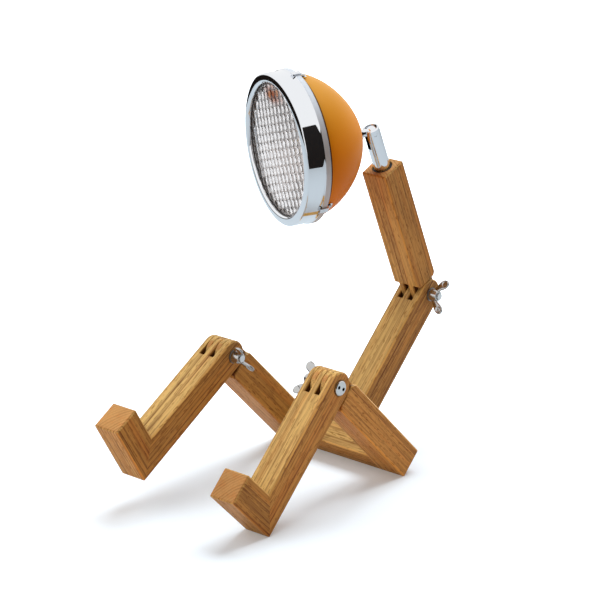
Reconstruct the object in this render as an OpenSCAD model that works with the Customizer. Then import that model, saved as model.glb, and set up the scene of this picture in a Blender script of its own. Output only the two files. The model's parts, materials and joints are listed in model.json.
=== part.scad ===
// Desk lamp in the shape of a seated robot: square wooden bars joined by knuckle hinges, with a
// round headlamp for a head. +Z is up and the robot faces -Y, so its left side is +X. The origin is
// the middle of the edge of the hips that it sits on. Millimetres.

/* [Wooden bars] */
// Side of the square bars
bar_w = 22; // [18:0.5:28]
// Bevel along the edges of the bars
edge_ease = 1; // [0.4:0.1:1.6]
// Width over both thighs
hip_width = 120; // [100:1:150]
// Rear edge of the hips to the knee pivot
thigh_reach = 112; // [90:1:140]
// Knee pivot to the sole
shin_reach = 112; // [90:1:140]
// Heel to toe
foot_length = 50.5; // [40:0.5:70]
// Top of the hips to the neck pivot
torso_reach = 114; // [90:1:140]
// Neck pivot to the top of the chest
chest_reach = 113; // [90:1:140]

/* [Pose] */
// Bend of the right knee from straight, in degrees
right_knee_bend = 76; // [60:1:90]
// Bend of the neck from straight, in degrees
neck_bend = 68; // [50:1:85]
// Turn of the head on its post, in degrees
head_pan = 25.5; // [0:0.5:60]
// Lift of the face above square to the post, in degrees
head_tilt = 17; // [0:0.5:45]

/* [Knuckle hinges] */
// Depth of the fork slots past the pivot
slot_depth = 13; // [12:0.5:18]
// Gap on each side of a tongue in its slot
tongue_gap = 0.25; // [0.1:0.05:0.4]
// Gap between a round fork end and the shoulder that it swings past
swing_gap = 0.8; // [0.4:0.1:2]
// Bevel of the shoulder corners
shoulder_bevel = 3; // [2:0.5:5]
// Bevel along the edges of the fingers
finger_ease = 0.4; // [0.2:0.05:0.5]

/* [Dowels] */
// Diameter of the dowels in the hips
dowel_d = 6; // [4:0.5:8]
// Length of the dowels in the hips
dowel_length = 28; // [20:1:34]
// Diameter of the dowels in the foot mitres
mitre_dowel_d = 4; // [3:0.5:5]
// Length of the dowels in the foot mitres
mitre_dowel_length = 16; // [10:1:20]
// Spacing of each pair of dowels
dowel_spacing = 10; // [8:0.5:12]

/* [Bolts and wing nuts] */
// Diameter of the hinge bolts
bolt_d = 5; // [4:0.5:6]
// Diameter of the bolt heads
bolt_head_d = 10.5; // [9:0.5:13]
// Thickness of the bolt heads
bolt_head_h = 2.2; // [1.8:0.1:3]
// Depth of the recess that a bolt head sits in
head_recess = 0.8; // [0.4:0.1:1.5]
// Gap around a bolt head in its recess
recess_gap = 0.8; // [0.3:0.05:1]
// Spacing of the two driving holes in a bolt head
drive_spacing = 5.2; // [4:0.1:6]
// Diameter of the driving holes
drive_hole_d = 2.2; // [1.2:0.1:2.4]
// Depth of the driving holes
drive_depth = 1.5; // [0.6:0.1:1.6]
// Length of bolt past the wing nut's hub
bolt_tail = 1; // [0.5:0.5:4]
// Diameter of the washers under the wing nuts
washer_d = 10; // [9:0.5:14]
// Thickness of the washers
washer_t = 1; // [0.5:0.1:2]
// Span over both wings
wing_span = 26; // [22:1:32]
// Height from the washer to the wing tips
wing_height = 13; // [11:0.5:18]
// Thickness of a wing
wing_t = 2; // [1.5:0.1:3]
// Radius of a wing tip
wing_tip_r = 3.3; // [2.5:0.1:4]
// Diameter of the nut's hub against the washer
hub_base_d = 9; // [8:0.5:11]
// Diameter of the nut's hub at its outer end
hub_top_d = 7.4; // [7:0.1:8.5]
// Height of the nut's hub
hub_h = 6.5; // [5:0.5:9]
// Depth of the dimples in the wing tips
dimple_depth = 0.4; // [0.2:0.1:0.6]

/* [Swivel post] */
// Outer diameter of the post
post_d = 12; // [10:0.5:14]
// Bore of the post
post_bore = 9; // [8:0.5:10]
// Depth of the post's bore from its top
post_bore_depth = 19; // [16:1:24]
// Height of the tilt pin above the top of the chest
ball_height = 30; // [26:0.5:40]
// Height of the post above the tilt pin
post_above_pin = 3.5; // [2:0.5:4]
// Depth of the post's slot below the tilt pin
slot_below_pin = 11.5; // [8:0.5:13]
// Diameter of the threaded spigot under the post
spigot_d = 8; // [6:0.5:9]
// Length of the spigot
spigot_length = 19; // [14:1:24]
// Diameter of the recess in the top of the chest
recess_d = 15; // [14:0.5:17]
// Depth of that recess
recess_depth = 2; // [1:0.5:4]
// Thickness of the friction washer under the post
pan_washer_t = 1; // [0.5:0.1:2]
// Outer diameter of the brass insert in the chest
insert_d = 12; // [10:0.5:14]
// Length of the brass insert
insert_length = 20; // [15:1:25]
// Diameter of the tilt pin
pin_d = 2.5; // [2:0.1:3]
// Diameter of the ball at the end of the head's stem
ball_d = 8.6; // [7:0.1:9]
// Diameter of the stem
stem_d = 6; // [5:0.5:6.5]
// Tilt pin to the back of the headlamp
stem_reach = 10.8; // [10:0.1:16]
// Diameter of the stem's collar
collar_d = 9; // [8:0.5:10]
// Thickness of the stem's collar
collar_t = 2.2; // [1.5:0.1:3]
// Thickness of the washer between the collar and the shell
stem_washer_t = 0.8; // [0.5:0.1:1.2]
// Width across the flats of the stem's lock nut
stem_nut_af = 10; // [9:0.5:11]
// Thickness of the stem's lock nut
stem_nut_t = 4; // [3:0.5:5]

/* [Headlamp] */
// Radius of the shell at its mouth
shell_r = 51.5; // [45:0.5:60]
// Depth of the dome behind the mouth
shell_depth = 46; // [42:0.5:60]
// Fullness of the dome: 2 is a true ellipse
dome_power = 1.69; // [1.6:0.01:2]
// Thickness of the shell
shell_t = 0.8; // [0.6:0.1:1.5]
// Radius of the flat at the back of the dome
seat_r = 6.5; // [6:0.5:8]
// Length of the rim from its rear face to its front
rim_length = 18; // [16:0.5:24]
// Height of the rim's rear flange above the shell
flange_h = 3.4; // [2.5:0.1:5]
// Length of the rear flange
flange_length = 4; // [3:0.5:6]
// Step down from the rear flange to the band
flange_step = 0.7; // [0.3:0.1:1.5]
// Radius of the roll at the front of the rim
roll_r = 2.6; // [2:0.1:4]
// Width of the rim's front face, from the band to the opening
face_w = 7; // [5:0.1:10]
// Depth of the opening's edge behind the front of the rim
lip_setback = 1.5; // [1:0.1:3]
// Thickness of the rim's metal
rim_t = 0.8; // [0.6:0.1:1.2]
// Thickness of the lens
lens_t = 3; // [2:0.5:4]
// Bulge of the lens
lens_bulge = 2.2; // [1:0.1:3]
// Thickness of the lens gasket
gasket_t = 0.6; // [0.4:0.1:1]
// Thickness of the reflector's metal
reflector_t = 0.8; // [0.5:0.1:1.2]
// Depth of the reflector from its flange to its floor
reflector_depth = 25; // [20:0.5:30]
// Radius of the reflector's floor
floor_r = 13; // [13:0.5:18]
// Width of the rim clips
clip_w = 4.5; // [4:0.5:8]
// Thickness of the rim clips
clip_t = 0.8; // [0.6:0.1:1]
// Length of a clip's foot on the shell
clip_foot = 4; // [3.8:0.1:8]
// Diameter of the clip screws
clip_screw_d = 1.6; // [1.4:0.1:2.5]
// Diameter of the clip screws' heads
clip_head_d = 3; // [2.6:0.1:3.4]

/* [Light unit] */
// Diameter of the LED board
led_board_d = 30; // [28:1:34]
// Thickness of the circuit boards
board_t = 1.6; // [1:0.1:2]
// Diameter of the LED emitter
emitter_d = 12; // [8:0.5:14]
// Thickness of the LED emitter
emitter_t = 1; // [0.5:0.1:2]
// Radius of the hole in the reflector's floor
emitter_hole_r = 8; // [7.5:0.1:8.1]
// Diameter of the heat sink
sink_d = 40; // [38:1:42]
// Thickness of the heat sink's base
sink_base = 4; // [3:0.5:6]
// Spacing of the fins
fin_pitch = 3; // [2.8:0.1:3.6]
// Thickness of a fin
fin_t = 1; // [0.8:0.1:1.3]
// Length of the driver board
driver_length = 34; // [32:1:36]
// Width of the driver board
driver_width = 26; // [24:1:30]
// Tallest component on the driver board
component_h = 5; // [4:0.5:6]
// Diameter of the posts that carry the driver board
standoff_d = 5; // [4:0.5:6]
// Spacing of those posts
standoff_spacing = 28; // [26:0.5:29]
// Diameter of the insulated leads
lead_d = 1.2; // [1:0.1:1.5]

/* [Switch and cord inlet] */
// Position of the switch round the shell from its top, in degrees
switch_angle = 70; // [60:1:110]
// Diameter of the switch body
switch_d = 10; // [9:0.5:12]
// Length of the switch body
switch_length = 12; // [10:0.5:13]
// Diameter of the switch's threaded neck
neck_d = 7; // [6.5:0.5:8]
// Length of the threaded neck outside the shell
neck_length = 3.6; // [3:0.2:6]
// Width across the flats of the switch nut
switch_nut_af = 9; // [8.5:0.5:11]
// Thickness of the switch nut
switch_nut_t = 2; // [1.5:0.1:2.5]
// Diameter of the push button
button_d = 5; // [4:0.1:5.4]
// Length of button outside the threaded neck
button_rise = 3; // [2:0.5:5]
// Travel of the button
button_travel = 1.5; // [1:0.1:2]
// Position of the cord inlet round the shell from its top, in degrees
inlet_angle = 125; // [115:1:150]
// Bore of the grommet for the cord
grommet_bore = 5.2; // [4:0.1:6]
// Diameter of the grommet's groove
grommet_groove_d = 8; // [7.5:0.5:9]
// Diameter of the grommet
grommet_d = 12; // [11:0.5:14]
// Thickness of each flange of the grommet
grommet_flange = 1.8; // [1.2:0.1:3]

/* [Fits] */
// Radial clearance of parts that turn on each other
running_gap = 0.05; // [0.03:0.01:0.1]
// Radial clearance of glued, pressed and screwed parts
glue_gap = 0.05; // [0.03:0.01:0.1]
// Clearance of a stem or screw in a hole that it passes through
hole_gap = 0.25; // [0.1:0.05:0.3]
// Clearance round a piece that lies loosely in a pocket
loose_gap = 0.5; // [0.3:0.05:0.8]
// Distance of an outer seat from the curved shell
outer_seat_gap = 0.1; // [0.05:0.05:0.3]
// Distance of an inner seat from the curved shell
inner_seat_gap = 0.6; // [0.5:0.05:1]

/* [Hidden] */
$fn = 96;

LEFT = 1;
RIGHT = -1;
past = 1; // how far a cut runs past the face that it opens

wood = [0.80, 0.62, 0.39];
steel = [0.78, 0.77, 0.74];
chrome = [0.88, 0.89, 0.91];
enamel = [0.88, 0.55, 0.12];
brass = [0.80, 0.66, 0.32];
black = [0.08, 0.08, 0.08];

// The left knee is folded square, and the hips and the left heel rest on one floor.
square = 90;
seat_angle = atan((shin_reach - bar_w / 2) / (thigh_reach - bar_w / 2));
hip_lift = -edge_ease * min(sin(seat_angle), cos(seat_angle));
knee_x = (hip_width - bar_w) / 2;

layer = bar_w / 5;
shoulder = bar_w / 2 + swing_gap;

// Values of the bolts and wing nuts: the wings' angles count from +Y toward +Z
drive_angle = 73;
neck_nut_angle = 68;
left_nut_angle = 46;
right_nut_angle = 126;
wing_tip = [wing_span / 2 - wing_tip_r, wing_height - wing_tip_r];
wing_root = 0.6;
wing_foot = 0.9;

// Values of the head
post_top = ball_height + post_above_pin;
inner_r = shell_r - shell_t;
inner_depth = shell_depth - shell_t;
seat_z = -shell_depth * pow(1 - pow(seat_r / shell_r, dome_power), 1 / dome_power);
inner_seat_z = -inner_depth * pow(1 - pow(seat_r / inner_r, dome_power), 1 / dome_power);
seat_reach = stem_reach + shell_depth + seat_z;
nut_reach = stem_reach + shell_depth + inner_seat_z;
stem_tail = 1;
flange_r = shell_r + flange_h;
band_r = flange_r - flange_step;
roll_end_r = band_r - roll_r;
opening_r = band_r - face_w;
lip_z = rim_length - lip_setback;
lens_front_z = lip_z - rim_t - gasket_t;
lens_back_z = lens_front_z - lens_t;
gasket_r = band_r - rim_t - glue_gap;
lens_r = gasket_r - gasket_t - glue_gap;
bowl_ledge = 1.2;
bowl_r = opening_r - bowl_ledge;
flange_back_z = lens_back_z - reflector_t;
floor_z = flange_back_z - reflector_depth;
floor_back_z = floor_z - reflector_t;
focal_4 = (bowl_r * bowl_r - floor_r * floor_r) / reflector_depth;

// Values of the light unit
sink_front_z = floor_back_z - board_t;
sink_base_z = sink_front_z - sink_base;
screw_head_d = 4.4;
screw_head_h = 1.5;
screw_d = 2.5;
driver_screw_reach = 4;
led_screw_r = (emitter_hole_r + floor_r) / 2;
driver_clearance = 2;
driver_corner = norm([driver_length, driver_width]) / 2 + driver_clearance;
dome_limit_z = -inner_depth * pow(1 - pow(driver_corner / inner_r, dome_power), 1 / dome_power);
stem_limit_z = inner_seat_z + stem_nut_t + stem_tail + driver_clearance;
driver_back_z = max(dome_limit_z, stem_limit_z);
driver_front_z = driver_back_z + board_t;
fin_clearance = 0.6;
fin_end_z = driver_front_z + component_h + fin_clearance;
fin_rows = 3;
lead_inset = 3.5;
lead_place = [fin_pitch / 2, led_board_d / 2 - lead_inset];
terminal_size = [8, 6, component_h];
terminal_centre = [-9, 8];
transformer_size = [8, 9];
transformer_corner = [2.5, -1];
// Centre and diameter of each capacitor
capacitors = [[7, -8, 6], [-4, -8, 5]];

// Values of the switch and the cord inlet
mid_dome = 50;
switch_base = shell_t + inner_seat_gap;
button_clearance = 0.08;
button_grip = 3.5;

// ---------------------------------------------------------------- outlines and helpers

function eased_outline(a, b, e) = [
    [-a / 2 + e, -b / 2], [a / 2 - e, -b / 2], [a / 2, -b / 2 + e], [a / 2, b / 2 - e],
    [a / 2 - e, b / 2], [-a / 2 + e, b / 2], [-a / 2, b / 2 - e], [-a / 2, -b / 2 + e]
];

// Point where the line from p touches the circle round c, on the left (side 1) or right (-1).
function tangent_point(p, c, r, side) =
    let (d = norm(c - p), toward = atan2(p[1] - c[1], p[0] - c[0]), spread = acos(r / d))
    c + r * [cos(toward + side * spread), sin(toward + side * spread)];

// Points of an arc round c from angle a to angle b.
function arc(c, r, a, b, steps) = [
    for (i = [0 : steps]) c + r * [cos(a + (b - a) * i / steps), sin(a + (b - a) * i / steps)]
];

// The dome's outline: a superellipse of the given radius and depth, with t from 0 at the back of
// the dome to 90 at its mouth.
function dome_point(r, depth, t) = [
    r * pow(sin(t), 2 / dome_power),
    -depth * pow(cos(t), 2 / dome_power)
];
function dome_start(r) = asin(pow(seat_r / r, dome_power / 2));
function dome_outline(r, depth, steps) = [
    for (i = [steps : -1 : 0]) dome_point(r, depth, 90 - (90 - dome_start(r)) * i / steps)
];

// Slope of the dome's outward normal, backward from square to the axis.
function dome_slope(p) = atan2(
    pow(-p[1], dome_power - 1) / pow(shell_depth, dome_power),
    pow(p[0], dome_power - 1) / pow(shell_r, dome_power)
);

// Place at height h over the dome, at x across, as a point of the lamp's frame.
function over_dome(angle, x, h) =
    let (
        p = dome_point(shell_r, shell_depth, mid_dome),
        slope = dome_slope(p),
        out = p[0] + h * cos(slope),
        back = p[1] - h * sin(slope)
    )
    [x * cos(angle) - out * sin(angle), x * sin(angle) + out * cos(angle), back];

module along_x(length) {
    translate([-length / 2, 0, 0]) rotate([90, 0, 90]) linear_extrude(length) children();
}

module eased_prism(a, b, length) {
    linear_extrude(length) polygon(eased_outline(a, b, edge_ease));
}

module cross_cylinder(d, length) {
    rotate([0, 90, 0]) cylinder(d = d, h = length, center = true);
}

module ring(outer, inner, height) {
    difference() {
        cylinder(r = outer, h = height);
        translate([0, 0, -past]) cylinder(r = inner, h = height + 2 * past);
    }
}

module rod(a, b, d) {
    run = b - a;
    translate(a)
        rotate([0, acos(run[2] / norm(run)), atan2(run[1], run[0])])
            cylinder(d = d, h = norm(run), $fn = 24);
}

module dowel_pair(d, length) {
    for (s = [-1, 1]) {
        translate([s * dowel_spacing / 2, 0, 0]) cylinder(d = d, h = length, center = true);
    }
}

// ---------------------------------------------------------------- places of the bodies

module at_hips() {
    translate([0, 0, hip_lift]) rotate([-seat_angle, 0, 0]) children();
}

module at_knee_pivot(side) {
    at_hips() translate([side * knee_x, -thigh_reach, bar_w / 2]) children();
}

module at_shin(side) {
    bend = side == LEFT ? square : right_knee_bend;
    at_knee_pivot(side) rotate([bend - square, 0, 0]) children();
}

module at_neck_pivot() {
    at_hips() translate([0, -bar_w / 2, bar_w + torso_reach]) children();
}

module at_chest() {
    at_neck_pivot() rotate([neck_bend, 0, 0]) children();
}

module at_post() {
    at_chest() translate([0, 0, chest_reach]) rotate([0, 0, -head_pan]) children();
}

module at_ball() {
    at_post() translate([0, 0, ball_height]) rotate([-head_tilt, 0, 0]) children();
}

// The lamp's frame: +Z out of the lens, +Y up, z = 0 at the mouth of the shell.
module at_lamp() {
    at_ball() translate([0, -stem_reach - shell_depth, 0]) rotate([90, 0, 0]) children();
}

// A place on the dome, with +Z out of the shell.
module on_dome(angle) {
    p = dome_point(shell_r, shell_depth, mid_dome);
    rotate([0, 0, angle]) translate([0, p[0], p[1]]) rotate([-90 - dome_slope(p), 0, 0]) children();
}

// ---------------------------------------------------------------- wooden bars

// Each limb hangs along -Z from its pivot at the origin, and the hinge's axis is X.
module bar_stock(length) {
    translate([0, 0, -length]) eased_prism(bar_w, bar_w, length);
}

// Bevels the four edges of the far end of a bar.
module end_bevel(length) {
    wide = bar_w + 2 * past;
    cap = [
        [-wide / 2, wide], [-wide / 2, -length + edge_ease + past],
        [-bar_w / 2 + edge_ease, -length], [bar_w / 2 - edge_ease, -length],
        [wide / 2, -length + edge_ease + past], [wide / 2, wide]
    ];
    intersection() {
        along_x(wide) polygon(cap);
        rotate([0, 0, 90]) along_x(wide) polygon(cap);
    }
}

module barrel() {
    half = bar_w / 2;
    rotate([0, 90, 0]) rotate_extrude() polygon([
        [0, -half], [half - edge_ease, -half], [half, -half + edge_ease],
        [half, half - edge_ease], [half - edge_ease, half], [0, half]
    ]);
}

module bolt_bore() {
    cross_cylinder(bolt_d + 2 * running_gap, bar_w + 2 * past);
}

// What the bevels of two fingers leave open at x = 0: a groove around the pivot that runs down
// both faces of the bar to the given depth.
module finger_groove(depth) {
    half = bar_w / 2;
    open = finger_ease + past;
    intersection() {
        rotate([0, 90, 0]) rotate_extrude()
            polygon([[half - finger_ease, 0], [half + past, -open], [half + past, open]]);
        translate([-bar_w, -bar_w, 0]) cube([2 * bar_w, 2 * bar_w, bar_w]);
    }
    for (s = [-1, 1]) {
        translate([0, s * half, -depth]) linear_extrude(depth)
            polygon([[0, -s * finger_ease], [open, s * past], [-open, s * past]]);
    }
}

// A forked end: three fingers with two slots, and a recess for the bolt's head on one side.
module forked_bar(length, head_side) {
    difference() {
        union() {
            bar_stock(length);
            barrel();
        }
        for (s = [-1, 1]) {
            translate([s * layer - layer / 2, -bar_w, -slot_depth])
                cube([layer, 2 * bar_w, slot_depth + bar_w]);
        }
        for (k = [-3 : 2 : 3]) {
            translate([k * layer / 2, 0, 0]) finger_groove(slot_depth);
        }
        bolt_bore();
        translate([head_side * (bar_w + past - head_recess) / 2, 0, 0])
            cross_cylinder(bolt_head_d + 2 * recess_gap, head_recess + past);
    }
}

// A tongued end: two tongues that stand out of a bevelled shoulder.
module tongued_bar(length) {
    half = bar_w / 2;
    side = half + past;
    shoulder_cut = [
        [-side, side], [-side, -shoulder - shoulder_bevel - past], [-half + shoulder_bevel, -shoulder],
        [half - shoulder_bevel, -shoulder], [side, -shoulder - shoulder_bevel - past], [side, side]
    ];
    difference() {
        union() {
            bar_stock(length);
            barrel();
        }
        for (k = [-2, 0, 2]) {
            translate([k * layer, 0, 0]) along_x(layer + 2 * tongue_gap) polygon(shoulder_cut);
        }
        for (s = [-1, 1], edge = [layer / 2 + tongue_gap, 3 * layer / 2 - tongue_gap]) {
            translate([s * edge, 0, 0]) finger_groove(shoulder + shoulder_bevel - 2 * finger_ease);
        }
        bolt_bore();
    }
}

// The two sides of the foot's mitre, which runs from the inner corner to the bevelled heel.
module mitre_side(upper) {
    half = bar_w / 2;
    heel = [half - edge_ease / 2, -shin_reach + edge_ease / 2];
    corner = [-half - past, -shin_reach + bar_w + past];
    above = [
        heel, [half, -shin_reach + edge_ease], [half + past, -shin_reach + edge_ease],
        [half + past, half + past], [-half - past, half + past], corner
    ];
    below = [
        heel, [half - edge_ease, -shin_reach], [half - edge_ease, -shin_reach - past],
        [half - foot_length - past, -shin_reach - past],
        [half - foot_length - past, -shin_reach + bar_w + past], corner
    ];
    along_x(bar_w + 2 * past) polygon(upper ? above : below);
}

module at_mitre() {
    translate([0, 0, -shin_reach + bar_w / 2]) rotate([-45, 0, 0]) children();
}

module mitre_bores() {
    at_mitre() dowel_pair(mitre_dowel_d + 2 * glue_gap, mitre_dowel_length + 2 * glue_gap);
}

module shin(side) {
    difference() {
        intersection() {
            forked_bar(shin_reach, side);
            mitre_side(true);
        }
        mitre_bores();
    }
}

// The foot lies along -Y under the shin, with its toe bevelled.
module foot() {
    toe = foot_length - bar_w / 2;
    difference() {
        intersection() {
            translate([0, 0, -shin_reach + bar_w / 2]) rotate([-90, 0, 0]) intersection() {
                translate([0, 0, -toe]) eased_prism(bar_w, bar_w, foot_length);
                end_bevel(toe);
            }
            mitre_side(false);
        }
        mitre_bores();
    }
}

module knee_shin(side) {
    color(wood) at_shin(side) shin(side);
}

module knee_foot(side) {
    color(wood) at_shin(side) foot();
}

module foot_dowels(side) {
    color(wood) at_shin(side) at_mitre() dowel_pair(mitre_dowel_d, mitre_dowel_length);
}

// ---------------------------------------------------------------- hips, torso and chest

module at_hip_dowels(side) {
    translate([side * (hip_width / 2 - bar_w), -bar_w / 2, bar_w / 2])
        rotate([0, 90, 0]) rotate([0, 0, 90]) children();
}

module at_torso_dowels() {
    translate([0, -bar_w / 2, bar_w]) children();
}

module hip_bores(side) {
    at_hip_dowels(side) dowel_pair(dowel_d + 2 * glue_gap, dowel_length + 2 * glue_gap);
}

module torso_bores() {
    at_torso_dowels() dowel_pair(dowel_d + 2 * glue_gap, dowel_length + 2 * glue_gap);
}

// The crossbar's section, run along X over the given length.
module hip_section(length) {
    translate([0, -bar_w / 2, bar_w / 2]) along_x(length) polygon(eased_outline(bar_w, bar_w, edge_ease));
}

module hip_crossbar() {
    color(wood) at_hips() difference() {
        hip_section(hip_width - 2 * bar_w);
        for (side = [LEFT, RIGHT]) {
            hip_bores(side);
        }
        torso_bores();
    }
}

module thigh(side) {
    color(wood) at_hips() difference() {
        union() {
            translate([side * knee_x, -thigh_reach, bar_w / 2]) rotate([90, 0, 0]) intersection() {
                tongued_bar(thigh_reach);
                end_bevel(thigh_reach);
            }
            translate([side * (hip_width / 2 - bar_w + edge_ease), 0, 0]) hip_section(2 * edge_ease);
        }
        hip_bores(side);
    }
}

module hip_dowels(side) {
    color(wood) at_hips() at_hip_dowels(side) dowel_pair(dowel_d, dowel_length);
}

module torso_dowels() {
    color(wood) at_hips() at_torso_dowels() dowel_pair(dowel_d, dowel_length);
}

module torso_bar() {
    color(wood) difference() {
        at_neck_pivot() forked_bar(torso_reach, RIGHT);
        at_hips() torso_bores();
    }
}

module chest_bar() {
    color(wood) at_chest() difference() {
        rotate([180, 0, 0]) intersection() {
            tongued_bar(chest_reach);
            end_bevel(chest_reach);
        }
        translate([0, 0, chest_reach - recess_depth]) cylinder(d = recess_d, h = recess_depth + past);
        translate([0, 0, chest_reach - recess_depth - insert_length - glue_gap])
            cylinder(d = insert_d + 2 * glue_gap, h = insert_length + past);
    }
}

// ---------------------------------------------------------------- bolts and wing nuts

// +Z runs from the bolt's head to its wing nut, and z = 0 is the middle of the hinge.
module toward_nut(side) {
    rotate([0, -90 * side, 0]) children();
}

module hinge_bolt(side) {
    head_z = -bar_w / 2 + head_recess - bolt_head_h;
    tail_z = bar_w / 2 + washer_t + hub_h + bolt_tail;
    bevel = 0.4;
    color(steel) toward_nut(side) difference() {
        union() {
            translate([0, 0, head_z]) rotate_extrude() polygon([
                [0, 0], [bolt_head_d / 2 - bevel, 0], [bolt_head_d / 2, bevel],
                [bolt_head_d / 2, bolt_head_h], [0, bolt_head_h]
            ]);
            translate([0, 0, head_z + past]) cylinder(d = bolt_d, h = tail_z - head_z - past);
        }
        rotate([0, 0, drive_angle]) for (s = [-1, 1]) {
            translate([s * drive_spacing / 2, 0, head_z - past])
                cylinder(d = drive_hole_d, h = drive_depth + past);
        }
    }
}

module hinge_washer(side) {
    color(steel) toward_nut(side) translate([0, 0, bar_w / 2])
        ring(washer_d / 2, bolt_d / 2 + hole_gap, washer_t);
}

module wing() {
    low = [hub_base_d / 2 - wing_root, wing_foot];
    high = [hub_top_d / 2 - wing_root, hub_h - wing_foot];
    dimple_r = wing_tip_r - 1;
    difference() {
        translate([0, wing_t / 2, 0]) rotate([90, 0, 0]) linear_extrude(wing_t) union() {
            polygon([
                low, tangent_point(low, wing_tip, wing_tip_r, 1),
                tangent_point(high, wing_tip, wing_tip_r, -1), high
            ]);
            translate(wing_tip) circle(r = wing_tip_r);
        }
        for (face = [-1, 1]) {
            translate([wing_tip[0], face * wing_t / 2, wing_tip[1]])
                rotate([90, 0, 0]) cylinder(r = dimple_r, h = 2 * dimple_depth, center = true);
        }
    }
}

// The wings point to the given angle, counted from +Y toward +Z.
module wing_nut(side, angle) {
    color(steel) rotate([seat_angle + angle - 90, 0, 0]) toward_nut(side)
        translate([0, 0, bar_w / 2 + washer_t]) difference() {
            union() {
                cylinder(d1 = hub_base_d, d2 = hub_top_d, h = hub_h);
                wing();
                rotate([0, 0, 180]) wing();
            }
            translate([0, 0, -past]) cylinder(d = bolt_d + 2 * running_gap, h = wing_height + 2 * past);
        }
}

module knee_bolt(side) {
    at_shin(side) hinge_bolt(side);
}

module knee_washer(side) {
    at_shin(side) hinge_washer(side);
}

module knee_wing_nut(side) {
    at_knee_pivot(side) wing_nut(side, side == LEFT ? left_nut_angle : right_nut_angle);
}

module neck_bolt() {
    at_neck_pivot() hinge_bolt(RIGHT);
}

module neck_washer() {
    at_neck_pivot() hinge_washer(RIGHT);
}

module neck_wing_nut() {
    at_neck_pivot() wing_nut(RIGHT, neck_nut_angle);
}

// ---------------------------------------------------------------- swivel post

module pan_insert() {
    color(brass) at_chest() translate([0, 0, chest_reach - recess_depth - insert_length])
        ring(insert_d / 2, spigot_d / 2 + running_gap, insert_length);
}

module pan_washer() {
    color(black) at_chest() translate([0, 0, chest_reach - recess_depth])
        ring(recess_d / 2 - loose_gap, spigot_d / 2 + hole_gap, pan_washer_t);
}

module swivel_post() {
    foot_z = pan_washer_t - recess_depth;
    bevel = 0.4;
    color(chrome) at_post() difference() {
        union() {
            translate([0, 0, foot_z]) rotate_extrude() polygon([
                [0, 0], [post_d / 2, 0], [post_d / 2, post_top - foot_z - bevel],
                [post_d / 2 - bevel, post_top - foot_z], [0, post_top - foot_z]
            ]);
            translate([0, 0, foot_z - spigot_length]) cylinder(d = spigot_d, h = spigot_length + past);
        }
        translate([0, 0, post_top - post_bore_depth]) cylinder(d = post_bore, h = post_bore_depth + past);
        translate([-stem_d / 2 - hole_gap, -post_d, ball_height - slot_below_pin])
            cube([stem_d + 2 * hole_gap, post_d, slot_below_pin + post_above_pin + past]);
        translate([0, 0, ball_height]) cross_cylinder(pin_d + 2 * glue_gap, post_d + 2 * past);
    }
}

module tilt_pin() {
    inset = 0.2;
    color(chrome) at_post() translate([0, 0, ball_height]) cross_cylinder(pin_d, post_d - 2 * inset);
}

module ball_stud() {
    collar_y = seat_reach - stem_washer_t - collar_t;
    tail_y = nut_reach + stem_nut_t + stem_tail;
    color(chrome) at_ball() difference() {
        union() {
            sphere(d = ball_d);
            rotate([90, 0, 0]) cylinder(d = stem_d, h = tail_y);
            rotate([90, 0, 0]) translate([0, 0, collar_y]) cylinder(d = collar_d, h = collar_t);
        }
        cross_cylinder(pin_d + 2 * running_gap, ball_d + 2 * past);
    }
}

module stem_washer() {
    color(black) at_lamp() translate([0, 0, seat_z - stem_washer_t])
        ring(seat_r - loose_gap, stem_d / 2 + hole_gap, stem_washer_t);
}

module stem_nut() {
    color(steel) at_lamp() translate([0, 0, inner_seat_z]) difference() {
        cylinder(d = stem_nut_af / cos(30), h = stem_nut_t, $fn = 6);
        translate([0, 0, -past]) cylinder(d = stem_d + 2 * glue_gap, h = stem_nut_t + 2 * past);
    }
}

// ---------------------------------------------------------------- headlamp

module lamp_shell() {
    outer = dome_outline(shell_r, shell_depth, 30);
    inner = dome_outline(inner_r, inner_depth, 30);
    hole = stem_d / 2 + hole_gap;
    color(enamel) at_lamp() difference() {
        rotate_extrude() polygon(concat(
            [[hole, outer[0][1]]], outer, [[shell_r, flange_back_z], [inner_r, flange_back_z]],
            [for (i = [len(inner) - 1 : -1 : 0]) inner[i]], [[hole, inner[0][1]]]
        ));
        on_dome(switch_angle) cylinder(d = neck_d + 2 * hole_gap, h = 4 * shell_t, center = true);
        on_dome(inlet_angle) cylinder(d = grommet_groove_d + 2 * hole_gap, h = 6 * shell_t, center = true);
        for (i = [0 : 2]) {
            at_clip(i) clip_screw_place()
                cylinder(d = clip_screw_d + 2 * glue_gap, h = 8 * shell_t, center = true);
        }
    }
}

module lamp_rim() {
    lip_run = (roll_end_r - opening_r) / 4;
    outer = concat(
        [[shell_r + loose_gap, 0], [flange_r, 0], [flange_r, flange_length]],
        [[band_r, flange_length + flange_step]],
        arc([roll_end_r, rim_length - roll_r], roll_r, 0, 90, 8),
        [[opening_r + lip_run, lip_z + lip_setback / 2], [opening_r, lip_z]]
    );
    inner = concat(
        [[opening_r, lip_z - rim_t], [opening_r + lip_run, lip_z + lip_setback / 2 - rim_t]],
        arc([roll_end_r, rim_length - roll_r], roll_r - rim_t, 90, 0, 8),
        [[band_r - rim_t, flange_length + flange_step], [flange_r - rim_t, flange_length]],
        [[flange_r - rim_t, rim_t], [shell_r + loose_gap, rim_t]]
    );
    color(chrome) at_lamp() rotate_extrude() polygon(concat(outer, inner));
}

// Three clips hook over the rim's rear flange and are screwed to the shell.
module at_clip(i) {
    rotate([0, 0, 120 * i]) children();
}

module clip_screw_place() {
    translate([0, shell_r + outer_seat_gap, -clip_t - loose_gap - clip_head_d / 2])
        rotate([-90, 0, 0]) children();
}

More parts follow.
